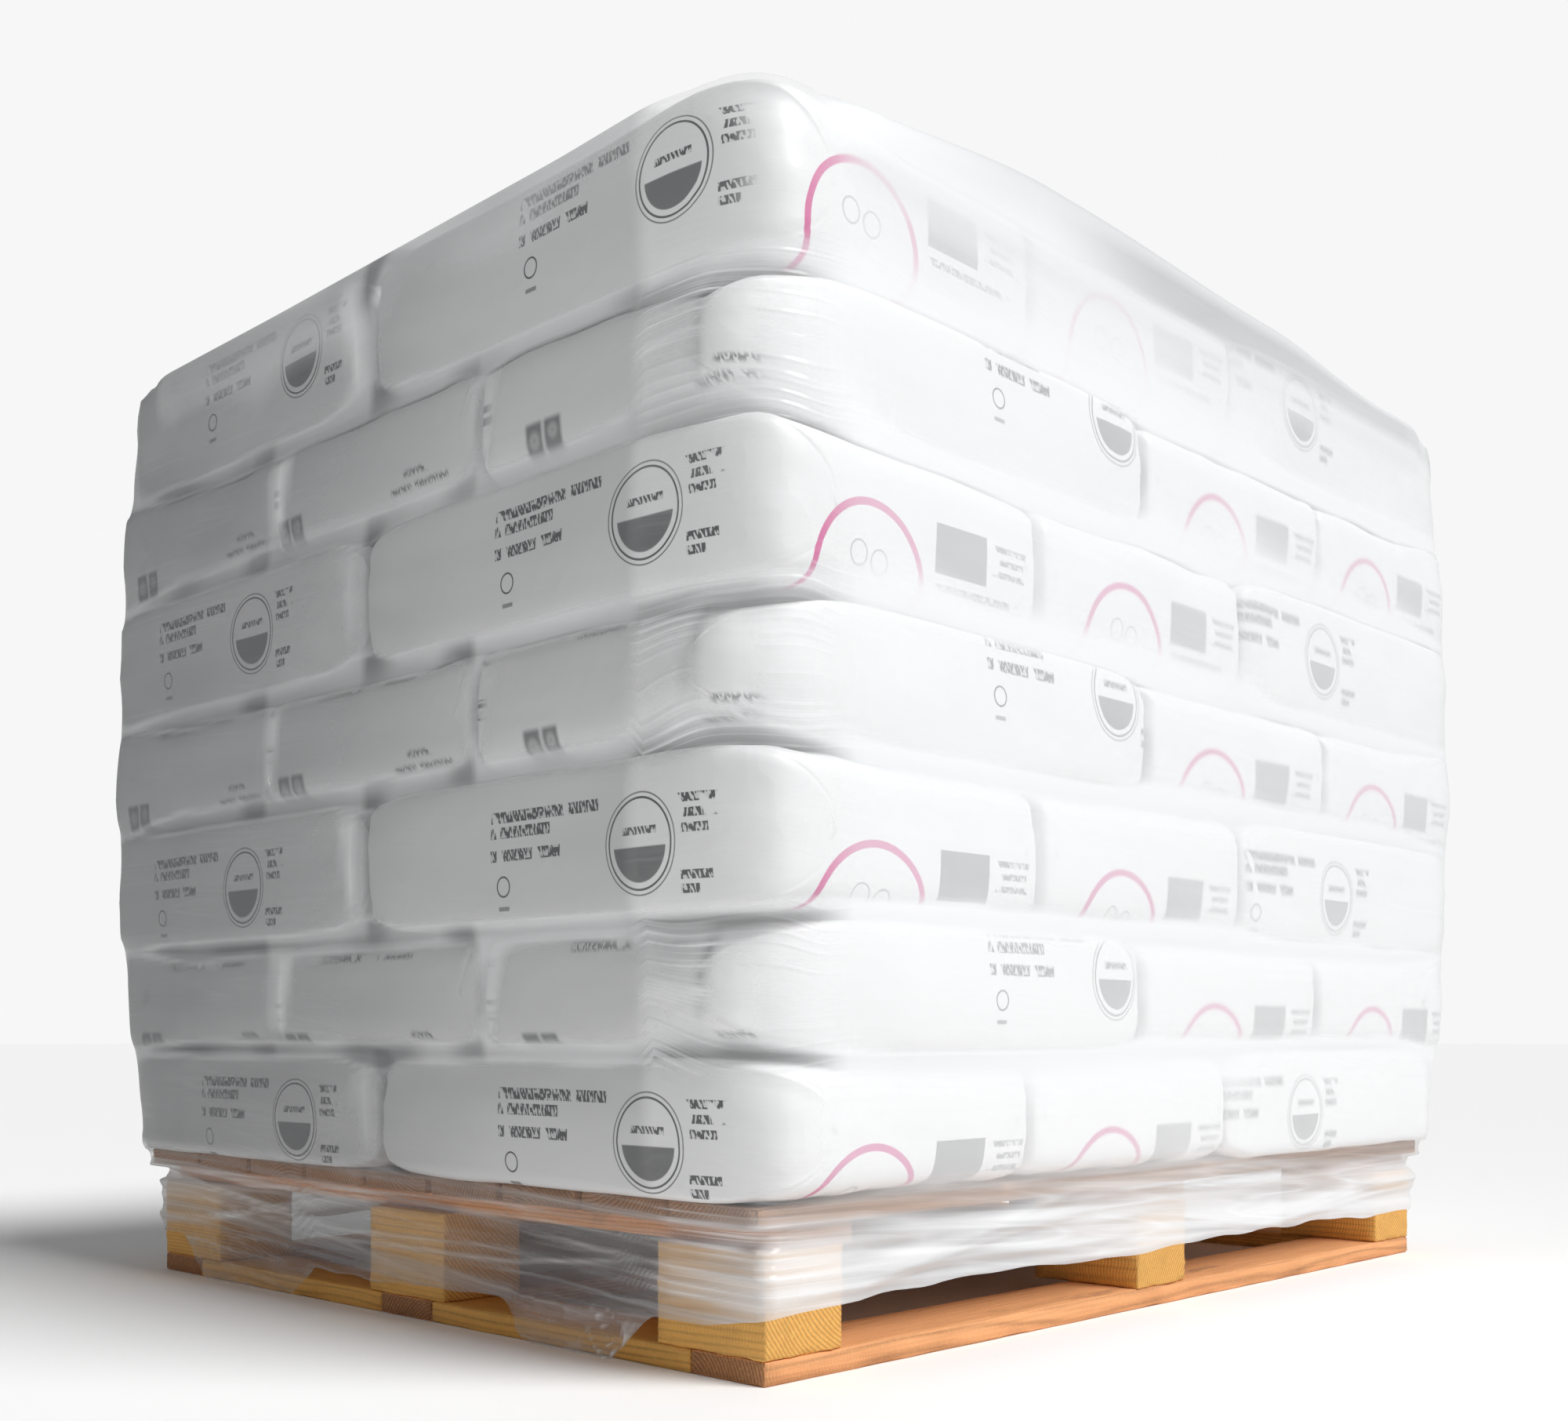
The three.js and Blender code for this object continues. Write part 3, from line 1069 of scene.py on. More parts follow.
def film_columns(half_x, half_y, radius, tight):
    """The film's columns, anticlockwise from the back right corner: side shares, and the angle they face.
    Each corner has a column that passes the deck's own corner, whose angle is tight."""
    shares, angles = [], []
    sides = [(0, half_x), (1, half_y), (0, half_x), (1, half_y)]
    signs = [(1, 1), (-1, 1), (-1, -1), (1, -1)]
    # The left side is cut closely as far back as its front flap reaches
    fine_ends = [0.15, 0.42, 0.15, 0.15]
    for corner in range(4):
        start = corner * math.pi / 2
        special = tight if corner % 2 == 0 else math.pi / 2 - tight
        share = np.linspace(-1.0, 1.0, CORNER_COLUMNS + 1)
        share = share * (0.55 + 0.45 * share * share)
        fan = special + share * np.where(share < 0.0, special, math.pi / 2 - special)
        for angle in fan:
            shares.append(signs[corner])
            angles.append(start + angle)
        axis, half = sides[corner]
        for mark in side_marks(2.0 * (half - radius), fine_ends[corner])[1:-1]:
            share = list(signs[corner])
            share[axis] = signs[corner][axis] * -mark
            shares.append(tuple(share))
            angles.append(start + math.pi / 2)
    return np.array(shares, dtype=float), np.array(angles)


def hull_reach(points, base, way):
    """How far a taut loop round the points lies from each base point along its way, in plan."""
    order = points[np.lexsort((points[:, 1], points[:, 0]))]

    def chain(items):
        kept = []
        for p in items:
            while len(kept) > 1:
                a, b = kept[-2], kept[-1]
                if (b[0] - a[0]) * (p[1] - a[1]) - (b[1] - a[1]) * (p[0] - a[0]) > 0.0:
                    break
                kept.pop()
            kept.append(p)
        return kept[:-1]

    loop = np.array(chain(order) + chain(order[::-1]))
    edge = np.roll(loop, -1, axis=0) - loop
    outward = np.stack([edge[:, 1], -edge[:, 0]], axis=1)
    facing = way @ outward.T
    gap = (loop * outward).sum(axis=1)[None, :] - base @ outward.T
    with np.errstate(divide="ignore", invalid="ignore"):
        reach = np.where(facing > 1e-9, gap / facing, np.inf)
    return reach.min(axis=1)


def taut(places, values):
    """The lowest line over the values that never bends upwards, as a string pulled tight over them."""
    kept = []
    for i in range(len(places)):
        while len(kept) > 1:
            a, b = kept[-2], kept[-1]
            rise = (values[b] - values[a]) * (places[i] - places[a])
            if rise > (values[i] - values[a]) * (places[b] - places[a]):
                break
            kept.pop()
        kept.append(i)
    return np.interp(places, places[kept], values[kept])


class Film:
    """The stretch film as a grid of points, each free to move along its own ray out of the load."""

    def __init__(self, settings, things):
        self.settings = settings
        self.rng = np.random.default_rng(settings.seed)
        self.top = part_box(f"sack_layer_{LAYERS}")[1][2]
        self.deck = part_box("deck_board_1")[1][2]
        self.radius = 0.03
        inside = 0.085
        block = np.abs(np.array(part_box("block_front_left")[0][:2]))
        plank = np.abs(np.array(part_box("deck_board_1")[0][:2]))
        self.half = block - inside
        centre = self.half - self.radius
        tight = math.atan2(plank[1] - centre[1], plank[0] - centre[0])
        self.shares, self.angles = film_columns(*self.half, self.radius, tight)
        self.out = np.stack([np.cos(self.angles), np.sin(self.angles)], axis=1)
        self.ring = self.plan(0.0)
        step = np.linalg.norm(np.roll(self.ring, -1, axis=0) - self.ring, axis=1)
        self.run = np.concatenate([[0.0], np.cumsum(step[:-1])])
        self.around = step.sum()
        self.lay_rays()
        self.touch(things)

    def plan(self, inset):
        """The base ring in plan, drawn in by inset."""
        half = self.half - self.radius - inset
        return self.shares * half + self.out * self.radius

    def places(self):
        """Where the film's points lie now."""
        return self.base + self.way * self.reach[:, :, None]

    def on_left(self):
        """1 on the columns of the left side, which the photograph shows."""
        return smooth(-0.9, -1.0, self.out[:, 0])

    def on_long_side(self):
        """1 on the columns of the front and the back."""
        return smooth(0.2, 0.9, np.abs(self.out[:, 1]))

    def lower_edge(self):
        """The height of the film's lower edge at each column: nearly level in front, torn on the left,
        where two flaps hang to the floor."""
        y = self.ring[:, 1]
        rough = waves(self.ring, 0.09, self.rng) * 4.0 * MM + waves(self.ring, 0.5, self.rng) * 4.0 * MM
        edge = self.settings.edge_height + rough + 14.0 * MM * smooth(0.3, 0.9, -self.out[:, 1])
        sag = 0.022 * smooth(-0.35, 0.1, y)
        near_flap = within(-0.41, -0.35, -0.23, -0.17, y)
        far_flap = within(0.17, 0.22, 0.41, 0.45, y)
        hang = np.maximum(near_flap, far_flap)
        edge = edge - self.on_left() * (sag + hang * (edge - sag - 2.0 * MM))
        return np.maximum(edge, 1.5 * MM)

    def lay_rays(self):
        """The start and the way of each point's ray, row by row from the lower edge to the fold's end."""
        bases, ways = [], []
        level = np.zeros((len(self.ring), 1))
        flat = np.concatenate([self.out, level], axis=1)
        up = np.array([0.0, 0.0, 1.0])
        self.edge = self.lower_edge()
        skirt_top = self.deck + 6.0 * MM
        for row in range(SKIRT_ROWS):
            height = self.edge + (skirt_top - self.edge) * row / SKIRT_ROWS
            bases.append(np.concatenate([self.ring, height[:, None]], axis=1))
            ways.append(flat)
        shoulder = self.top - SHOULDER_DROP
        seams = [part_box(f"sack_layer_{layer}")[0][2] for layer in range(1, LAYERS + 1)]
        for height in wall_heights(skirt_top, shoulder, seams):
            bases.append(np.concatenate([self.ring, level + height], axis=1))
            ways.append(flat)
        self.wall_end = len(bases)
        for degrees in SHOULDER_ANGLES:
            angle = math.radians(degrees)
            bases.append(np.concatenate([self.ring, level + shoulder], axis=1))
            ways.append(flat * math.cos(angle) + up * math.sin(angle))
        depth = self.settings.fold - 0.07 + 0.02 * waves(self.ring, 0.35, self.rng)
        for row in range(1, ROOF_ROWS + 1):
            ring = self.plan((depth * row / ROOF_ROWS)[:, None])
            bases.append(np.concatenate([ring, level + shoulder], axis=1))
            ways.append(np.repeat(up[None, :], len(self.ring), axis=0))
        self.base = np.array(bases)
        self.way = np.array(ways)

    def cast(self, tree, base, way):
        """How far out the things reach along each ray, with some room, or 0 where the ray meets nothing."""
        start = base + way * REACH
        solid = np.zeros(base.shape[:2])
        for row in range(base.shape[0]):
            room = self.settings.clearance * (1.0 if row < self.wall_end else 2.0)
            for column in range(base.shape[1]):
                hit = tree.ray_cast(start[row, column], -way[row, column], REACH)
                if hit[3] is not None:
                    solid[row, column] = REACH - hit[3] + room
        return solid

    def touch(self, things):
        """How far out the load and the pallet reach along each ray."""
        corners, faces = [], []
        for thing in things:
            start = len(corners)
            corners.extend(v.co for v in thing.data.vertices)
            faces.extend([start + i for i in polygon.vertices] for polygon in thing.data.polygons)
        tree = BVHTree.FromPolygons(corners, faces)
        self.solid = self.cast(tree, self.base, self.way)
        # The edges of the sacks that lie between two columns must not pierce the film
        halfway = self.way + np.roll(self.way, -1, axis=1)
        halfway /= np.linalg.norm(halfway, axis=2, keepdims=True)
        between = self.cast(tree, (self.base + np.roll(self.base, -1, axis=1)) / 2, halfway)
        between = np.maximum(between, np.roll(between, 1, axis=1))
        higher = between > self.solid + 1.5 * MM
        higher[:TIMBER_ROWS] = False
        higher[self.wall_end :] = False
        self.solid = np.where(higher, between, self.solid)
        # Sharp edges of the timber between two rows or columns are kept behind the film as well
        timber = self.solid[:TIMBER_ROWS]
        timber = np.maximum(timber, np.maximum(np.roll(timber, 1, axis=1), np.roll(timber, -1, axis=1)))
        padded = np.concatenate([timber[:1], timber, timber[-1:]])
        self.solid[:TIMBER_ROWS] = np.maximum(timber, np.maximum(padded[2:], padded[:-2]))
        self.reach = self.solid.copy()

    def draw_taut(self):
        """Pull each row of the wall taut in plan, each row above it along its sides, and each column of the
        wall upwards."""
        for row in range(self.wall_end):
            held = self.solid[row] > 0.0
            if held.sum() < 8:
                continue
            base = self.base[row, :, :2]
            points = base + self.out * self.solid[row][:, None]
            self.reach[row] = np.maximum(self.solid[row], hull_reach(points[held], base, self.out))
        rows, columns = self.reach.shape
        for row in range(self.wall_end, rows):
            for side in self.sides():
                self.reach[row, side] = taut(self.run[side], self.reach[row, side])
        wall = slice(SKIRT_ROWS, self.wall_end)
        for column in range(columns):
            self.reach[wall, column] = taut(self.base[wall, column, 2], self.reach[wall, column])

    def settle(self):
        """Let the taut film settle as a stretched skin that can't pass what it touches."""
        sink = self.settings.sink * (1.0 - 0.75 * self.on_long_side()) * np.ones((len(self.reach), 1))
        sink[self.wall_end - 5 :] *= 0.25
        least = np.maximum(self.solid, self.reach - sink)
        least[:SKIRT_ROWS] = self.solid[:SKIRT_ROWS]
        place = self.places()
        beside = np.linalg.norm(np.roll(place, -1, axis=1) - place, axis=2).clip(2.0 * MM)
        before = np.roll(beside, 1, axis=1)
        above = np.linalg.norm(np.diff(place, axis=0), axis=2).clip(2.0 * MM)
        above = np.concatenate([above, above[-1:]])
        below = np.concatenate([above[:1], above[:-1]])
        next_share = 1.0 / (beside * (beside + before))
        last_share = 1.0 / (before * (beside + before))
        up_share = UPRIGHT_PULL / (above * (above + below))
        down_share = UPRIGHT_PULL / (below * (above + below))
        up_share[-1] = 0.0
        down_share[0] = 0.0
        total = next_share + last_share + up_share + down_share
        suction = self.settings.suction / total
        suction[:SKIRT_ROWS] = 0.0
        suction[self.wall_end - 3 :] *= 0.3
        for _ in range(self.settings.settle):
            place = self.places()
            higher = np.concatenate([place[1:], place[-1:]])
            lower = np.concatenate([place[:1], place[:-1]])
            pulled = (
                np.roll(place, -1, axis=1) * next_share[:, :, None]
                + np.roll(place, 1, axis=1) * last_share[:, :, None]
                + higher * up_share[:, :, None]
                + lower * down_share[:, :, None]
            ) / total[:, :, None]
            wanted = ((pulled - self.base) * self.way).sum(axis=2) - suction
            self.reach = np.maximum(least, wanted)
        eased = np.maximum(soften(self.reach, 4), self.solid - 0.6 * self.settings.clearance)
        wall = slice(TIMBER_ROWS, self.wall_end - 2)
        self.reach[wall] = eased[wall]

    def sides(self):
        """The columns of each straight side, with a few of the corners' on both ends."""
        beyond = 5
        spans = []
        for side in np.isclose(self.angles[:, None], np.arange(1, 5) * math.pi / 2).T:
            at = np.flatnonzero(side)
            first, last = max(at[0] - beyond, 0), min(at[-1] + beyond + 1, len(self.angles))
            spans.append(np.arange(first, last))
        return spans

    def near_corner(self):
        """1 on the strips beside the corners, where the film lies clear and wrinkled on the sacks."""
        x, y = np.abs(np.moveaxis(self.places()[:, :, :2], 2, 0))
        sway = 6.0 * MM * waves(self.base, 0.25, self.rng)
        beside = smooth(0.560, 0.640, x) * smooth(0.424, 0.450, y + sway)
        return beside * (self.base[:, :, 0] * self.base[:, :, 1] > 0.0)

    def crease_line(self, at_corner, between):
        """A line that runs straight from corner to corner with two slight bends on each side: its height at
        each column, drawn from one range at the corners and from another between them."""
        corners = [int(np.argmin(np.abs(self.angles - (k + 0.5) * math.pi / 2))) for k in range(4)]
        knots, heights = [], []
        for k in range(4):
            start = self.run[corners[k]]
            span = (self.run[corners[(k + 1) % 4]] - start) % self.around
            knots += [start, start + 0.35 * span, start + 0.7 * span]
            level = self.rng.uniform(*between)
            heights += [self.rng.uniform(*at_corner), level, level + self.rng.uniform(-0.006, 0.006)]
        return np.interp(self.run, knots, heights, period=self.around)

    def fold(self):
        """Folds of the slack film: long creases on the skirt that meet at the corners, a crinkled hem and
        flaps, and pleats over the top corners."""
        rows, columns = self.reach.shape
        self.corner = self.near_corner()
        height = self.base[:, :, 2]
        spot = self.places()
        in_skirt = smooth(self.deck - 0.002, self.deck - 0.02, height)
        facing = self.on_long_side()[None, :]
        self.gather = np.zeros((rows, columns))
        lift = np.zeros((rows, columns))
        for _ in range(13):
            line = self.crease_line((0.07, 0.14), (0.065, 0.15))
            width = (2.6 + 4.6 * facing) * MM * self.rng.uniform(0.8, 1.4)
            away = np.abs(height - line[None, :]) / width
            rope = np.exp(-(away**1.5)) * smooth(-0.5, 0.3, waves(spot, 0.7, self.rng, 6))
            lift += rope * (1.2 + 2.2 * facing) * MM * self.rng.uniform(0.4, 1.3)
            self.gather = np.maximum(self.gather, rope)
        lift += facing * waves(spot, 0.02, self.rng, 10, (40.0, 40.0, 1.0)) * 1.2 * MM
        lift *= in_skirt
        self.gather *= in_skirt
        hem = 1.0 - smooth(0.0, 0.03, height - self.edge[None, :])
        hem[self.wall_end :] = 0.0
        ridge = 1.0 - np.abs(waves(spot, 0.045, self.rng, 8)) * 1.6
        hang = smooth(0.035, 0.012, self.edge)[None, :] * smooth(0.085, 0.04, height)
        hang[self.wall_end :] = 0.0
        # The flaps' creases lean both ways
        leaned = np.stack([spot[:, :, 1] + height, spot[:, :, 1] - height], axis=2) * 0.7
        crease = 1.0 - 2.0 * np.abs(waves(leaned, 0.022, self.rng, 10, (4.0, 1.0)))
        lift += hem * (ridge + 0.2) * 1.1 * MM + hang * (5.0 + 3.0 * ridge + 2.0 * crease) * MM
        self.flap = hang
        # Only the near flap's low part glints
        low = smooth(0.056, 0.030, height) * smooth(-0.40, -0.385, spot[:, :, 1])
        low *= smooth(-0.27, -0.32, spot[:, :, 1])
        self.glint = hang * smooth(0.35, 1.0, crease) * low * smooth(-0.6, 0.5, waves(spot, 0.03, self.rng))
        top = np.arange(rows)[:, None] - self.wall_end
        roof = smooth(4.0, 18.0, top.astype(float))
        pleat = np.abs(np.sin(self.angles * 7.0 + waves(self.ring, 0.2, self.rng)))[None, :]
        lift += roof * self.corner * (1.0 - pleat) * 5.0 * MM
        ripple = waves(spot, 0.09, self.rng, 10)
        lift += roof * 1.8 * MM * (ripple + 0.7)
        self.reach = self.reach + np.maximum(lift, -0.4 * (self.reach - self.solid))

    def ear_highlights(self):
        """The crumpled corners of sacks, painted as pale patches of highlight beside the grooves on the
        short sides, and the painted shade of dark pits on the grooves' other side."""
        x, y, z = np.moveaxis(self.places(), 2, 0)
        found = np.zeros(x.shape)
        pit_shade = np.zeros(x.shape)
        for layer in range(LAYERS):
            low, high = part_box(f"sack_layer_{layer + 1}")
            width = (high[0] - low[0]) / LAYER_WIDTHS
            up = (z - low[2]) / (high[2] - low[2])
            for face in (-1, 1):
                if (layer % 2 == 0) == (face < 0):
                    grooves, way = [0.0], -1.0
                else:
                    grooves, way = [-width / 2, width / 2], 1.0
                for groove in grooves:
                    away = (y - groove) * face * way
                    wide = (20.0 + 30.0 * up + self.rng.uniform(-6.0, 10.0)) * MM
                    # A painted highlight: the pale patch beside the groove
                    patch = smooth(2.0 * MM, 12.0 * MM, away) * (1.0 - smooth(0.6, 1.2, away / wide))
                    patch *= within(0.08, 0.3, 0.78, 0.95, up)
                    found = np.maximum(found, patch * (x * face > 0.5) * self.rng.uniform(0.4, 1.0))
                    # Painted shade: the dark pit on the groove's other side
                    pit = within(-70.0 * MM, -20.0 * MM, -8.0 * MM, 8.0 * MM, away)
                    pit *= within(-0.25, 0.1, 0.9, 1.25, up)
                    pit_shade = np.maximum(pit_shade, pit * (x * face > 0.5) * self.rng.uniform(0.6, 1.0))
        return found, pit_shade

    def fan(self):
        """Where the wrinkles fan out beside the round ends of the sacks at the clear corners, and the
        shaded crescent between such an end and the film."""
        _, y, z = np.moveaxis(self.places(), 2, 0)
        fan = np.zeros(y.shape)
        crescent = np.zeros(y.shape)
        on_end = self.corner * smooth(0.5, 0.9, np.abs(self.out[:, 0]))
        for layer in range(1, LAYERS, 2):
            low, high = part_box(f"sack_layer_{layer + 1}")
            up = (z - low[2]) / (high[2] - low[2])
            inside = within(-0.05, 0.1, 0.9, 1.05, up)
            fan = np.maximum(fan, inside * (1.0 - smooth(0.505, 0.535, np.abs(y))))
            middle = 0.512 + 0.075 * (up - 0.42) ** 2
            arc = np.exp(-(((np.abs(y) - middle) / (7.0 * MM)) ** 2)) * smooth(0.15, 0.45, up)
            crescent = np.maximum(crescent, arc * (1.0 - smooth(0.75, 0.95, up)))
        return fan * on_end, crescent * on_end

    def shoulder_angles(self):
        """How far round the shoulder each row above the wall lies, in degrees, counted on over the roof."""
        return np.concatenate([SHOULDER_ANGLES, 90.0 + 11.0 * np.arange(1, ROOF_ROWS + 1)])

    def crown(self):
        """How high the band of slack film stands up along the front's upper edge."""
        x, y = self.ring.T
        along = within(-0.62, -0.27, 0.17, 0.46, x) * (1.0 - 0.3 * smooth(-0.2, 0.15, x))
        along *= smooth(-0.3, -0.45, y)
        angle = self.shoulder_angles()
        rise = np.zeros(len(self.base))
        rise[self.wall_end :] = within(9.0, 27.0, 55.0, 130.0, angle)
        return self.settings.crown * rise[:, None] * along[None, :]

    def crown_foot(self):
        """The line along which the crown rises from the sacks."""
        x, y = self.ring.T
        foot = np.zeros(self.reach.shape)
        angle = np.array(SHOULDER_ANGLES)[:, None]
        along = within(-0.30, -0.05, 0.50, 0.58, x) * smooth(-0.3, -0.45, y)
        foot[self.wall_end : self.wall_end + len(angle)] = np.exp(-(((angle - 15.0) / 5.0) ** 2)) * along
        return foot

    def look(self):
        """How milky the film is at each point, and the shade and light painted into its colour. Where it
        touches a sack it is clear, where it stands off it hides what is behind, and over a deep gap the
        gap's shade is painted on it, blurred. The short sides carry more painted shade, the ears painted
        highlights."""
        settings = self.settings
        y = self.ring[:, 1]
        far_left = smooth(-0.5, -0.85, self.out[:, 0]) * (y > 0.0)
        short_side = np.maximum(1.0 - self.on_long_side(), far_left)[None, :]
        long_side = 1.0 - short_side
        height = self.base[:, :, 2]
        deepest = 0.03
        depth = np.where(self.solid > 0.0, np.clip(self.reach - self.solid, 0.0, deepest), deepest)
        off = smooth(3.0 * MM, 12.0 * MM, soften(depth, 9))
        wide = smooth(3.0 * MM, 14.0 * MM, soften(depth, 22))
        spot = self.places()
        # Painted shade: the film is darkened and made milkier towards the far end of the left side
        far_left_shade = np.maximum(self.on_left(), far_left) * smooth(-0.40, 0.40, y)
        skirt = smooth(self.deck + 0.022, self.deck - 0.01, height)
        under = smooth(self.deck - 0.022, self.deck - 0.035, height)
        crown = self.crown() / settings.crown
        crown_foot = self.crown_foot()
        ear_highlights, pit_shade = self.ear_highlights()
        fan, crescent = self.fan()
        # Painted shade in the deep gaps: dark pits beside the grooves, and patches that come and go along
        # the seams
        seam_shade = np.maximum(pit_shade, 0.55 * smooth(0.1, 1.0, waves(spot, 0.30, self.rng, 8)))
        # On the front and back the film is milkier, partly as thicker film and partly as a painted sheen
        touching = settings.clear + 0.33 * long_side + 0.15 * short_side + 0.42 * far_left_shade
        seam = (height < self.top - 0.09) * (1.0 - self.corner)
        near = under * smooth(-0.38, -0.48, y)
        skirt_veil = 0.25 + 0.12 * under + 0.18 * long_side + 0.20 * near - self.flap * 0.05
        veil = blend(touching, off, settings.milky + 0.12 * long_side * seam)
        veil = blend(veil, ear_highlights, 0.70)
        veil = blend(veil, self.corner, 0.05 + off * 0.30)
        veil = blend(veil, skirt, skirt_veil)
        veil = blend(veil, crown, 0.88)
        veil = blend(veil, crown_foot, 0.7)
        veil = blend(veil, self.glint, 0.95)
        veil += 0.05 * waves(spot, 0.12, self.rng, 12, (5.0, 5.0, 1.0)) * (1.0 - self.corner)
        veil += 0.26 * fan + 0.24 * crescent
        # Painted shade on the short sides' film
        dark = 0.82 * (1.0 - off) ** 2 + 0.19 * off * off
        painted_shade = short_side * (dark + 0.55 * seam_shade * wide + far_left_shade * (0.06 + 0.40 * off))
        painted_shade = np.minimum(painted_shade, 0.82) * (1.0 - 0.8 * ear_highlights)
        painted_shade *= 1.0 - 0.85 * self.corner
        # Painted shade over the skirt, darkest on the short sides, where the dark gaps under the load lie
        # behind it
        painted_shade = blend(painted_shade, skirt, (0.56 - 0.2 * near) * short_side + 0.12 * long_side)
        painted_shade = blend(painted_shade, crown, 0.20)
        # Painted shade: a dark line along the foot of the crown
        painted_shade += 0.5 * crown_foot
        painted_shade *= 1.0 - self.glint
        # The painted shade fades out over the top
        painted_shade[self.wall_end :] *= 1.0 - 0.9 * smooth(40.0, 80.0, self.shoulder_angles())[:, None]
        # Painted shade in the fans of wrinkles and the crescents by the round sack ends
        painted_shade += fan * (0.30 - painted_shade).clip(0.0) * short_side
        painted_shade = blend(painted_shade, crescent, 0.75)
        busy = self.corner * (0.25 + off * 0.95) + skirt * 0.35
        busy += fan * (1.5 - busy).clip(0.0)
        patchy = smooth(-0.2, 0.5, waves(spot, 0.05, self.rng, 12, (3.0, 3.0, 1.0)))
        patchy = blend(patchy, 0.6 * skirt, 1.0)
        # The wrinkles sway by the corners, and run up into the front left one
        into = self.on_left() * (-0.44 - y).clip(0.0)
        bend = waves(spot, 0.22, self.rng) * 0.018 * self.corner * (1.0 - skirt)
        bend += 0.42 * into * (1.0 - 0.7 * skirt)
        return {
            "veil": veil,
            "painted_shade": painted_shade,
            "busy": busy,
            "patchy": patchy,
            "bend": bend,
            "gather": self.gather * (0.30 - long_side * 0.12),
            "flap": self.flap,
            "streaky": skirt * (0.32 - long_side * 0.12) * (1.0 - 0.6 * self.flap),
        }

    def piece(self, material):
        """The film as a mesh, with the measures that its material reads."""
        rows, columns = self.reach.shape
        points = self.places()
        points[:, :, 2] = np.maximum(points[:, :, 2], 1.0 * MM) + self.crown()
        faces = grid_faces(rows, columns)
        piece = new_piece("stretch_film", points.reshape(-1, 3), faces, material)
        for name, values in self.look().items():
            give_attribute(piece.data, name, (values * np.ones((rows, columns))).ravel())
        self.unroll(piece.data, points)
        return piece

    def unroll(self, mesh, points):
        """The film's own map: the way round the load, and the height up it and in over the top."""
        rows, columns = self.reach.shape
        rise = np.linalg.norm(np.diff(points, axis=0), axis=2).mean(axis=1)
        rise = np.concatenate([[0.0], np.cumsum(rise)])
        u = np.tile(self.run, rows)
        level = np.repeat(rise[:, None], columns, axis=1)
        level += self.base[self.wall_end - 1, 0, 2] - rise[self.wall_end - 1]
        level[: self.wall_end] = self.base[: self.wall_end, :, 2]
        corners = corner_points(mesh)
        uv = np.stack([u[corners], level.ravel()[corners]], axis=1).reshape(-1, 4, 2)
        wrapped = uv[:, :, 0].max(axis=1) - uv[:, :, 0].min(axis=1) > self.around / 2
        low = uv[:, :, 0] < self.around / 2
        uv[:, :, 0] += np.where(wrapped[:, None] & low, self.around, 0.0)
        give_uv(mesh, "film", uv)


def film_material():
    """Clear stretch film: a thin milky veil, thicker where it stands off, with fine pulled wrinkles. Its
    colour carries painted shade, and painted highlights on its wrinkles and folds.
    """
    settings = bpy.context.scene.pallet_film
    g = Graph("stretch film")
    u, v, _ = g.split(g.add("ShaderNodeUVMap", uv_map="film"))
    busy = g.attribute("busy")
    gather = g.attribute("gather")
    pulled = v + g.attribute("bend") + u * 0.06
    broad = g.noise(g.join(u * 2.2, pulled * 30.0), 1.0, 0.0)
    fine = g.noise(g.join(u * 4.0, pulled * 52.0), 1.0, 0.0)
    hair = g.noise(g.join(u * 5.0, pulled * 130.0), 1.0, 0.0)
    sharp = (1.0 - abs(fine - 0.5) * 13.0).most(0.0)
    thread = (1.0 - abs(hair - 0.5) * 13.0).most(0.0)
    lines = (sharp * 0.9 + thread * 0.5) * (busy + 0.04) * (g.attribute("patchy") * 0.85 + 0.15)
    veil = g.attribute("veil") + (broad - 0.5) * 0.08 * (1.0 + busy * 1.5) + lines * 0.28 + gather
    streak = g.noise(g.join(u * 0.8, pulled * 75.0), 1.0, 0.0)
    veil = veil + (g.step(0.36, 0.64, streak) - 0.5) * g.attribute("streaky")
    # Painted highlights: the wrinkles and folds lighten the film's colour
    painted_highlight = (lines * 0.9 + gather * 1.6).held()
    # The film's colour, darkened towards near black by the painted shade
    colour = g.mix(g.attribute("painted_shade") * (1.0 - painted_highlight), tuple(settings.colour), (0.05, 0.055, 0.06))
    normal = g.bump((broad + sharp * 0.5) * (busy + 0.12), 2.0 * MM, 0.5)
    return g.surface(
        Base_Color=colour,
        Roughness=0.44 - busy * 0.20 - g.attribute("flap") * 0.20,
        Alpha=veil.held(0.05, 0.96),
        Normal=normal,
        Specular_IOR_Level=0.4,
    )


def veil_sacks(film, sacks):
    """Note on each sack how far off the film stands, because print blurs behind film that doesn't touch
    it. It blurs less at the clear corners and on the left, and more towards the long sides' milky ends."""
    tree = BVHTree.FromObject(film, bpy.context.evaluated_depsgraph_get())
    farthest = 0.03
    sharp, blurred = 0.006, 0.026
    for sack in sacks:
        mesh = sack.data
        values = np.zeros(len(mesh.vertices))
        for vertex in mesh.vertices:
            distance = tree.find_nearest(vertex.co, farthest)[3]
            value = 1.0
            if distance is not None:
                value = min(1.0, max(0.0, (distance - sharp) / (blurred - sharp)))
            x, y = vertex.co[:2]
            if x * y > 0.0 and abs(x) > 0.58 and abs(y) > 0.42:
                value *= 0.3
            elif x < -0.62:
                value *= 0.5
            elif abs(y) > 0.5:
                value = max(value, 0.55 * smooth(-0.5, 0.2, -x * math.copysign(1.0, y)))
            values[vertex.index] = value
        mesh.attributes["veil"].data.foreach_set("value", values.astype(np.float32))


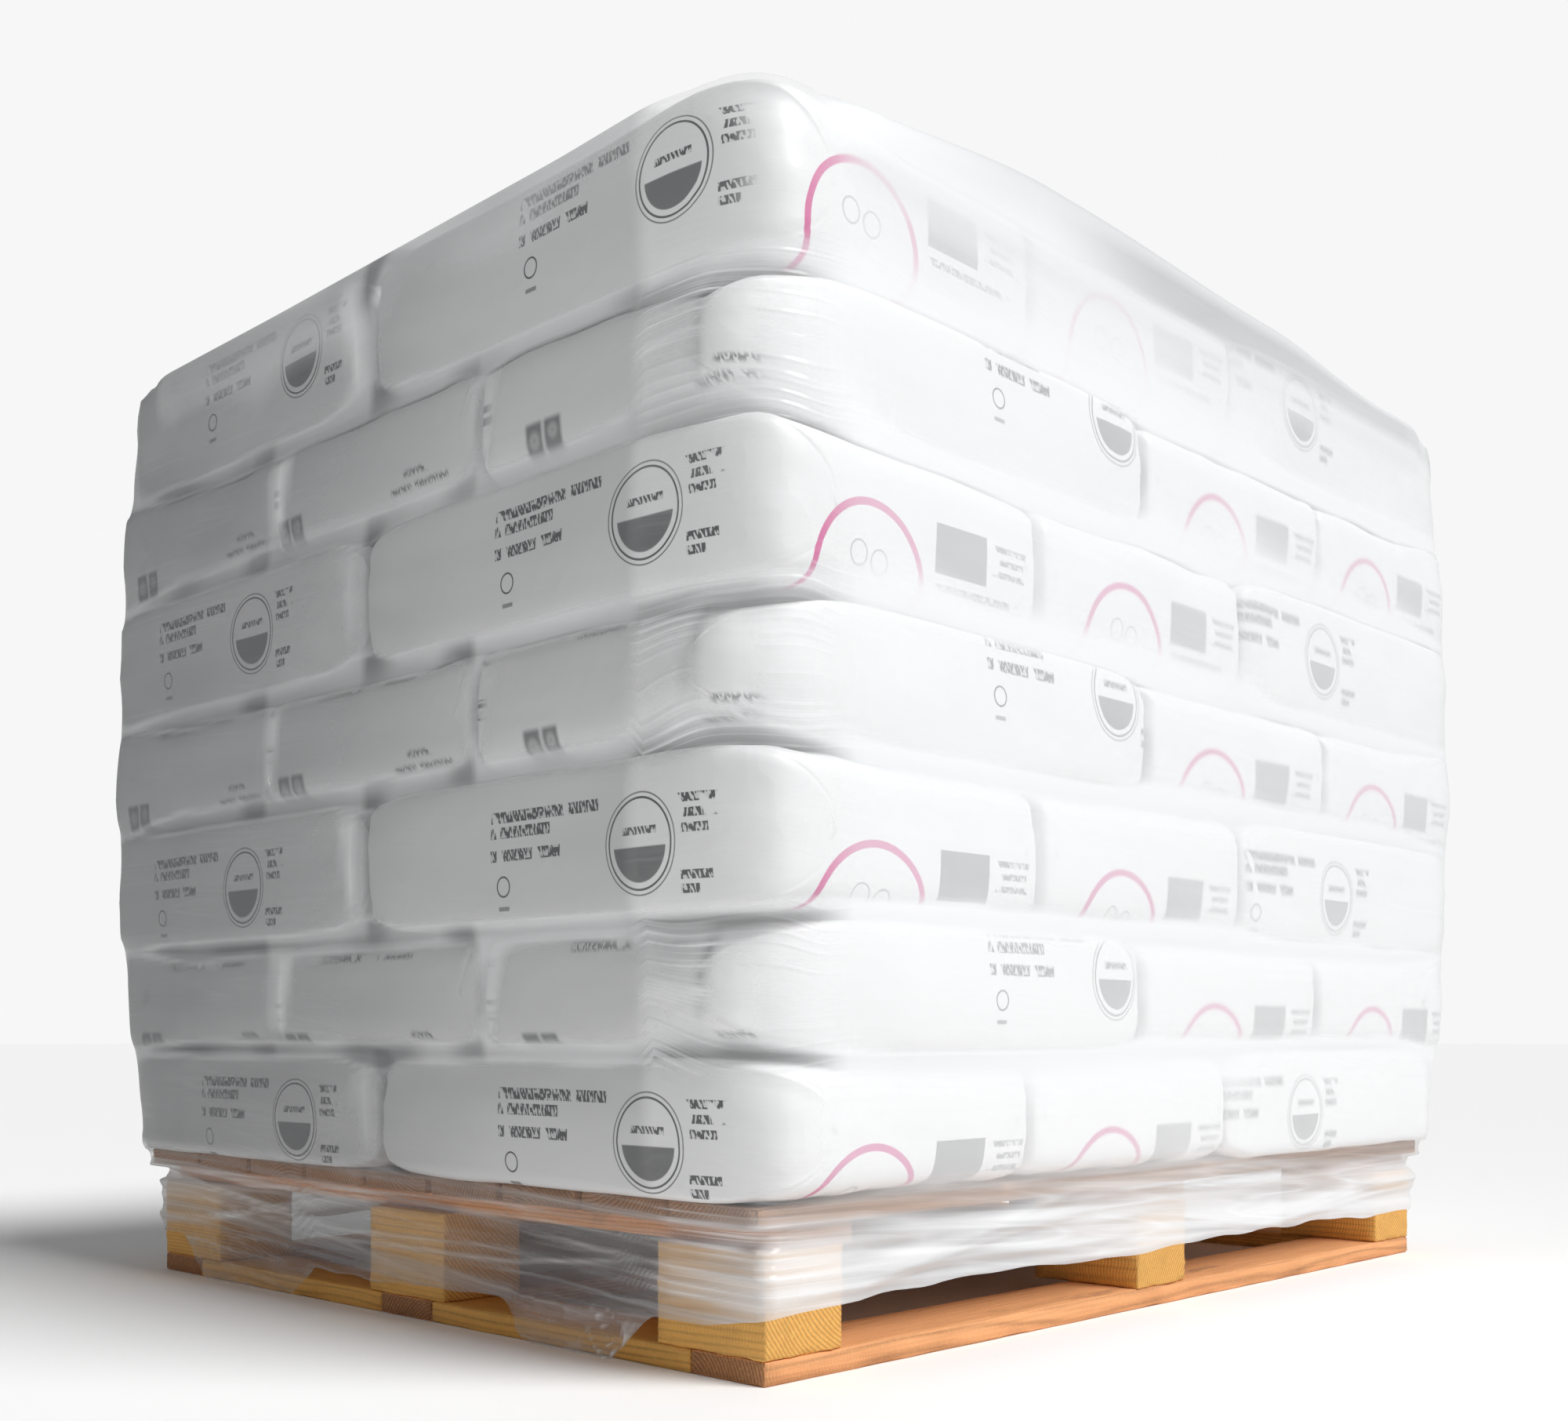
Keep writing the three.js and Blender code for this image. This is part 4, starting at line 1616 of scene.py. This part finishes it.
class PALLET_OT_film(bpy.types.Operator):
    """Wrap the load and the pallet's blocks in stretch film, drawn taut over the sacks"""

    bl_idname = "pallet.film"
    bl_label = "Stretch film"

    def execute(self, context):
        meshes = [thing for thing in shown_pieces() if thing.type == "MESH"]
        timber = [thing for thing in meshes if thing.name.endswith("_sawn")]
        sacks = [thing for thing in meshes if thing.name.startswith("sack_")]
        sacks = [sack for sack in sacks if not sack.name.startswith("sack_layer")]
        film = Film(context.scene.pallet_film, timber + sacks)
        film.draw_taut()
        film.settle()
        film.fold()
        piece = film.piece(film_material())
        # The light that thin film stops it mostly sends on, so it shades nothing behind it
        piece.visible_shadow = False
        piece.visible_diffuse = False
        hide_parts("stretch_wrap")
        context.view_layer.update()
        veil_sacks(piece, sacks)
        return {"FINISHED"}


# Stage

def photo_camera():
    """The camera at the photograph's viewpoint, level, its frame shifted up as the photograph's is."""
    data = bpy.data.cameras.new("camera")
    data.sensor_width = SENSOR_WIDTH
    data.lens = FOCAL_LENGTH / PHOTO_WIDTH * SENSOR_WIDTH
    data.shift_x = (PHOTO_WIDTH / 2 - CENTRE_ACROSS) / PHOTO_WIDTH
    data.shift_y = (CENTRE_DOWN - PHOTO_HEIGHT / 2) / PHOTO_WIDTH
    camera = bpy.data.objects.new("camera", data)
    bpy.context.collection.objects.link(camera)
    camera.location = CAMERA_PLACE
    camera.rotation_euler = (math.radians(90.0), 0.0, math.radians(CAMERA_TURN))
    bpy.context.scene.camera = camera


def new_light(name, kind, energy, place, comes_from):
    """A light at a place. comes_from is the way from what it lights back to it."""
    data = bpy.data.lights.new(name, kind)
    data.energy = energy
    light = bpy.data.objects.new(name, data)
    bpy.context.collection.objects.link(light)
    light.location = place
    light.rotation_euler = Vector(comes_from).to_track_quat("Z", "Y").to_euler()
    return data


def studio_world(settings):
    """Light all round that is pale behind the object, faint on it, and a little brighter in its gloss."""
    world = bpy.data.worlds.new("studio")
    bpy.context.scene.world = world
    world.use_nodes = True
    nodes, links = world.node_tree.nodes, world.node_tree.links
    nodes.clear()
    ray = nodes.new("ShaderNodeLightPath")
    lit = nodes.new("ShaderNodeMapRange")
    seen = nodes.new("ShaderNodeMix")
    background = nodes.new("ShaderNodeBackground")
    output = nodes.new("ShaderNodeOutputWorld")
    background.inputs["Color"].default_value = (1.0, 1.0, 1.0, 1.0)
    lit.inputs["To Min"].default_value = settings.sky_light
    lit.inputs["To Max"].default_value = settings.sky_gloss
    seen.inputs[3].default_value = settings.sky_seen
    links.new(ray.outputs["Is Glossy Ray"], lit.inputs["Value"])
    links.new(ray.outputs["Is Camera Ray"], seen.inputs[0])
    links.new(lit.outputs["Result"], seen.inputs[2])
    links.new(seen.outputs[0], background.inputs["Strength"])
    links.new(background.outputs["Background"], output.inputs["Surface"])


class PALLET_OT_stage(bpy.types.Operator):
    """Lay the floor, set the camera at the photograph's viewpoint and light the load softly"""

    bl_idname = "pallet.stage"
    bl_label = "Stage"

    def execute(self, context):
        settings = context.scene.pallet_stage
        bpy.ops.mesh.primitive_circle_add(vertices=96, radius=settings.floor_radius, fill_type="NGON")
        floor = context.object
        floor.name = "floor"
        g = Graph("pale floor")
        cloud = g.noise(g.add("ShaderNodeTexCoord", out="Object"), 1.4, 3.0)
        colour = g.mix(cloud * 0.1, tuple(settings.floor_colour), (0.94, 0.94, 0.94))
        floor.data.materials.append(g.surface(Base_Color=colour, Roughness=0.85, Specular_IOR_Level=0.0))
        floor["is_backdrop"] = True
        photo_camera()
        key = new_light("key", "SUN", settings.key_strength, (0.0, 0.0, 0.0), (0.16, -0.56, 0.81))
        key.angle = math.radians(30.0)
        fill = new_light("fill", "AREA", settings.fill_power, (-2.3, -2.3, 1.9), (-1.6, -1.7, 1.2))
        fill.size = 1.4
        studio_world(settings)
        context.scene.view_settings.view_transform = "Standard"
        return {"FINISHED"}


class PALLET_PT_panel(bpy.types.Panel):
    """The pieces of the pallet, in the order that they are made in"""

    bl_idname = "PALLET_PT_panel"
    bl_label = "Pallet of sacks"
    bl_space_type = "VIEW_3D"
    bl_region_type = "UI"
    bl_category = "Pallet"

    def draw(self, context):
        for operator in OPERATORS:
            self.layout.operator(operator.bl_idname)
        for name in SETTINGS:
            group = getattr(context.scene, name)
            for key in group.__annotations__:
                self.layout.prop(group, key)


OPERATORS = (
    PALLET_OT_stage,
    PALLET_OT_boards,
    PALLET_OT_blocks,
    PALLET_OT_nails,
    PALLET_OT_sacks,
    PALLET_OT_film,
)
SETTINGS = {
    "pallet_timber": TimberSettings,
    "pallet_sacks": SackSettings,
    "pallet_film": FilmSettings,
    "pallet_stage": StageSettings,
}


def register():
    for settings in SETTINGS.values():
        bpy.utils.register_class(settings)
    for operator in OPERATORS:
        bpy.utils.register_class(operator)
    bpy.utils.register_class(PALLET_PT_panel)
    for name, settings in SETTINGS.items():
        setattr(bpy.types.Scene, name, PointerProperty(type=settings))


def unregister():
    for name in SETTINGS:
        delattr(bpy.types.Scene, name)
    bpy.utils.unregister_class(PALLET_PT_panel)
    for operator in reversed(OPERATORS):
        bpy.utils.unregister_class(operator)
    for settings in reversed(list(SETTINGS.values())):
        bpy.utils.unregister_class(settings)


def main():
    register()
    bpy.ops.pallet.stage()
    bpy.ops.pallet.boards()
    bpy.ops.pallet.blocks()
    bpy.ops.pallet.nails()
    bpy.ops.pallet.sacks()
    bpy.ops.pallet.film()


if __name__ == "__main__":
    main()
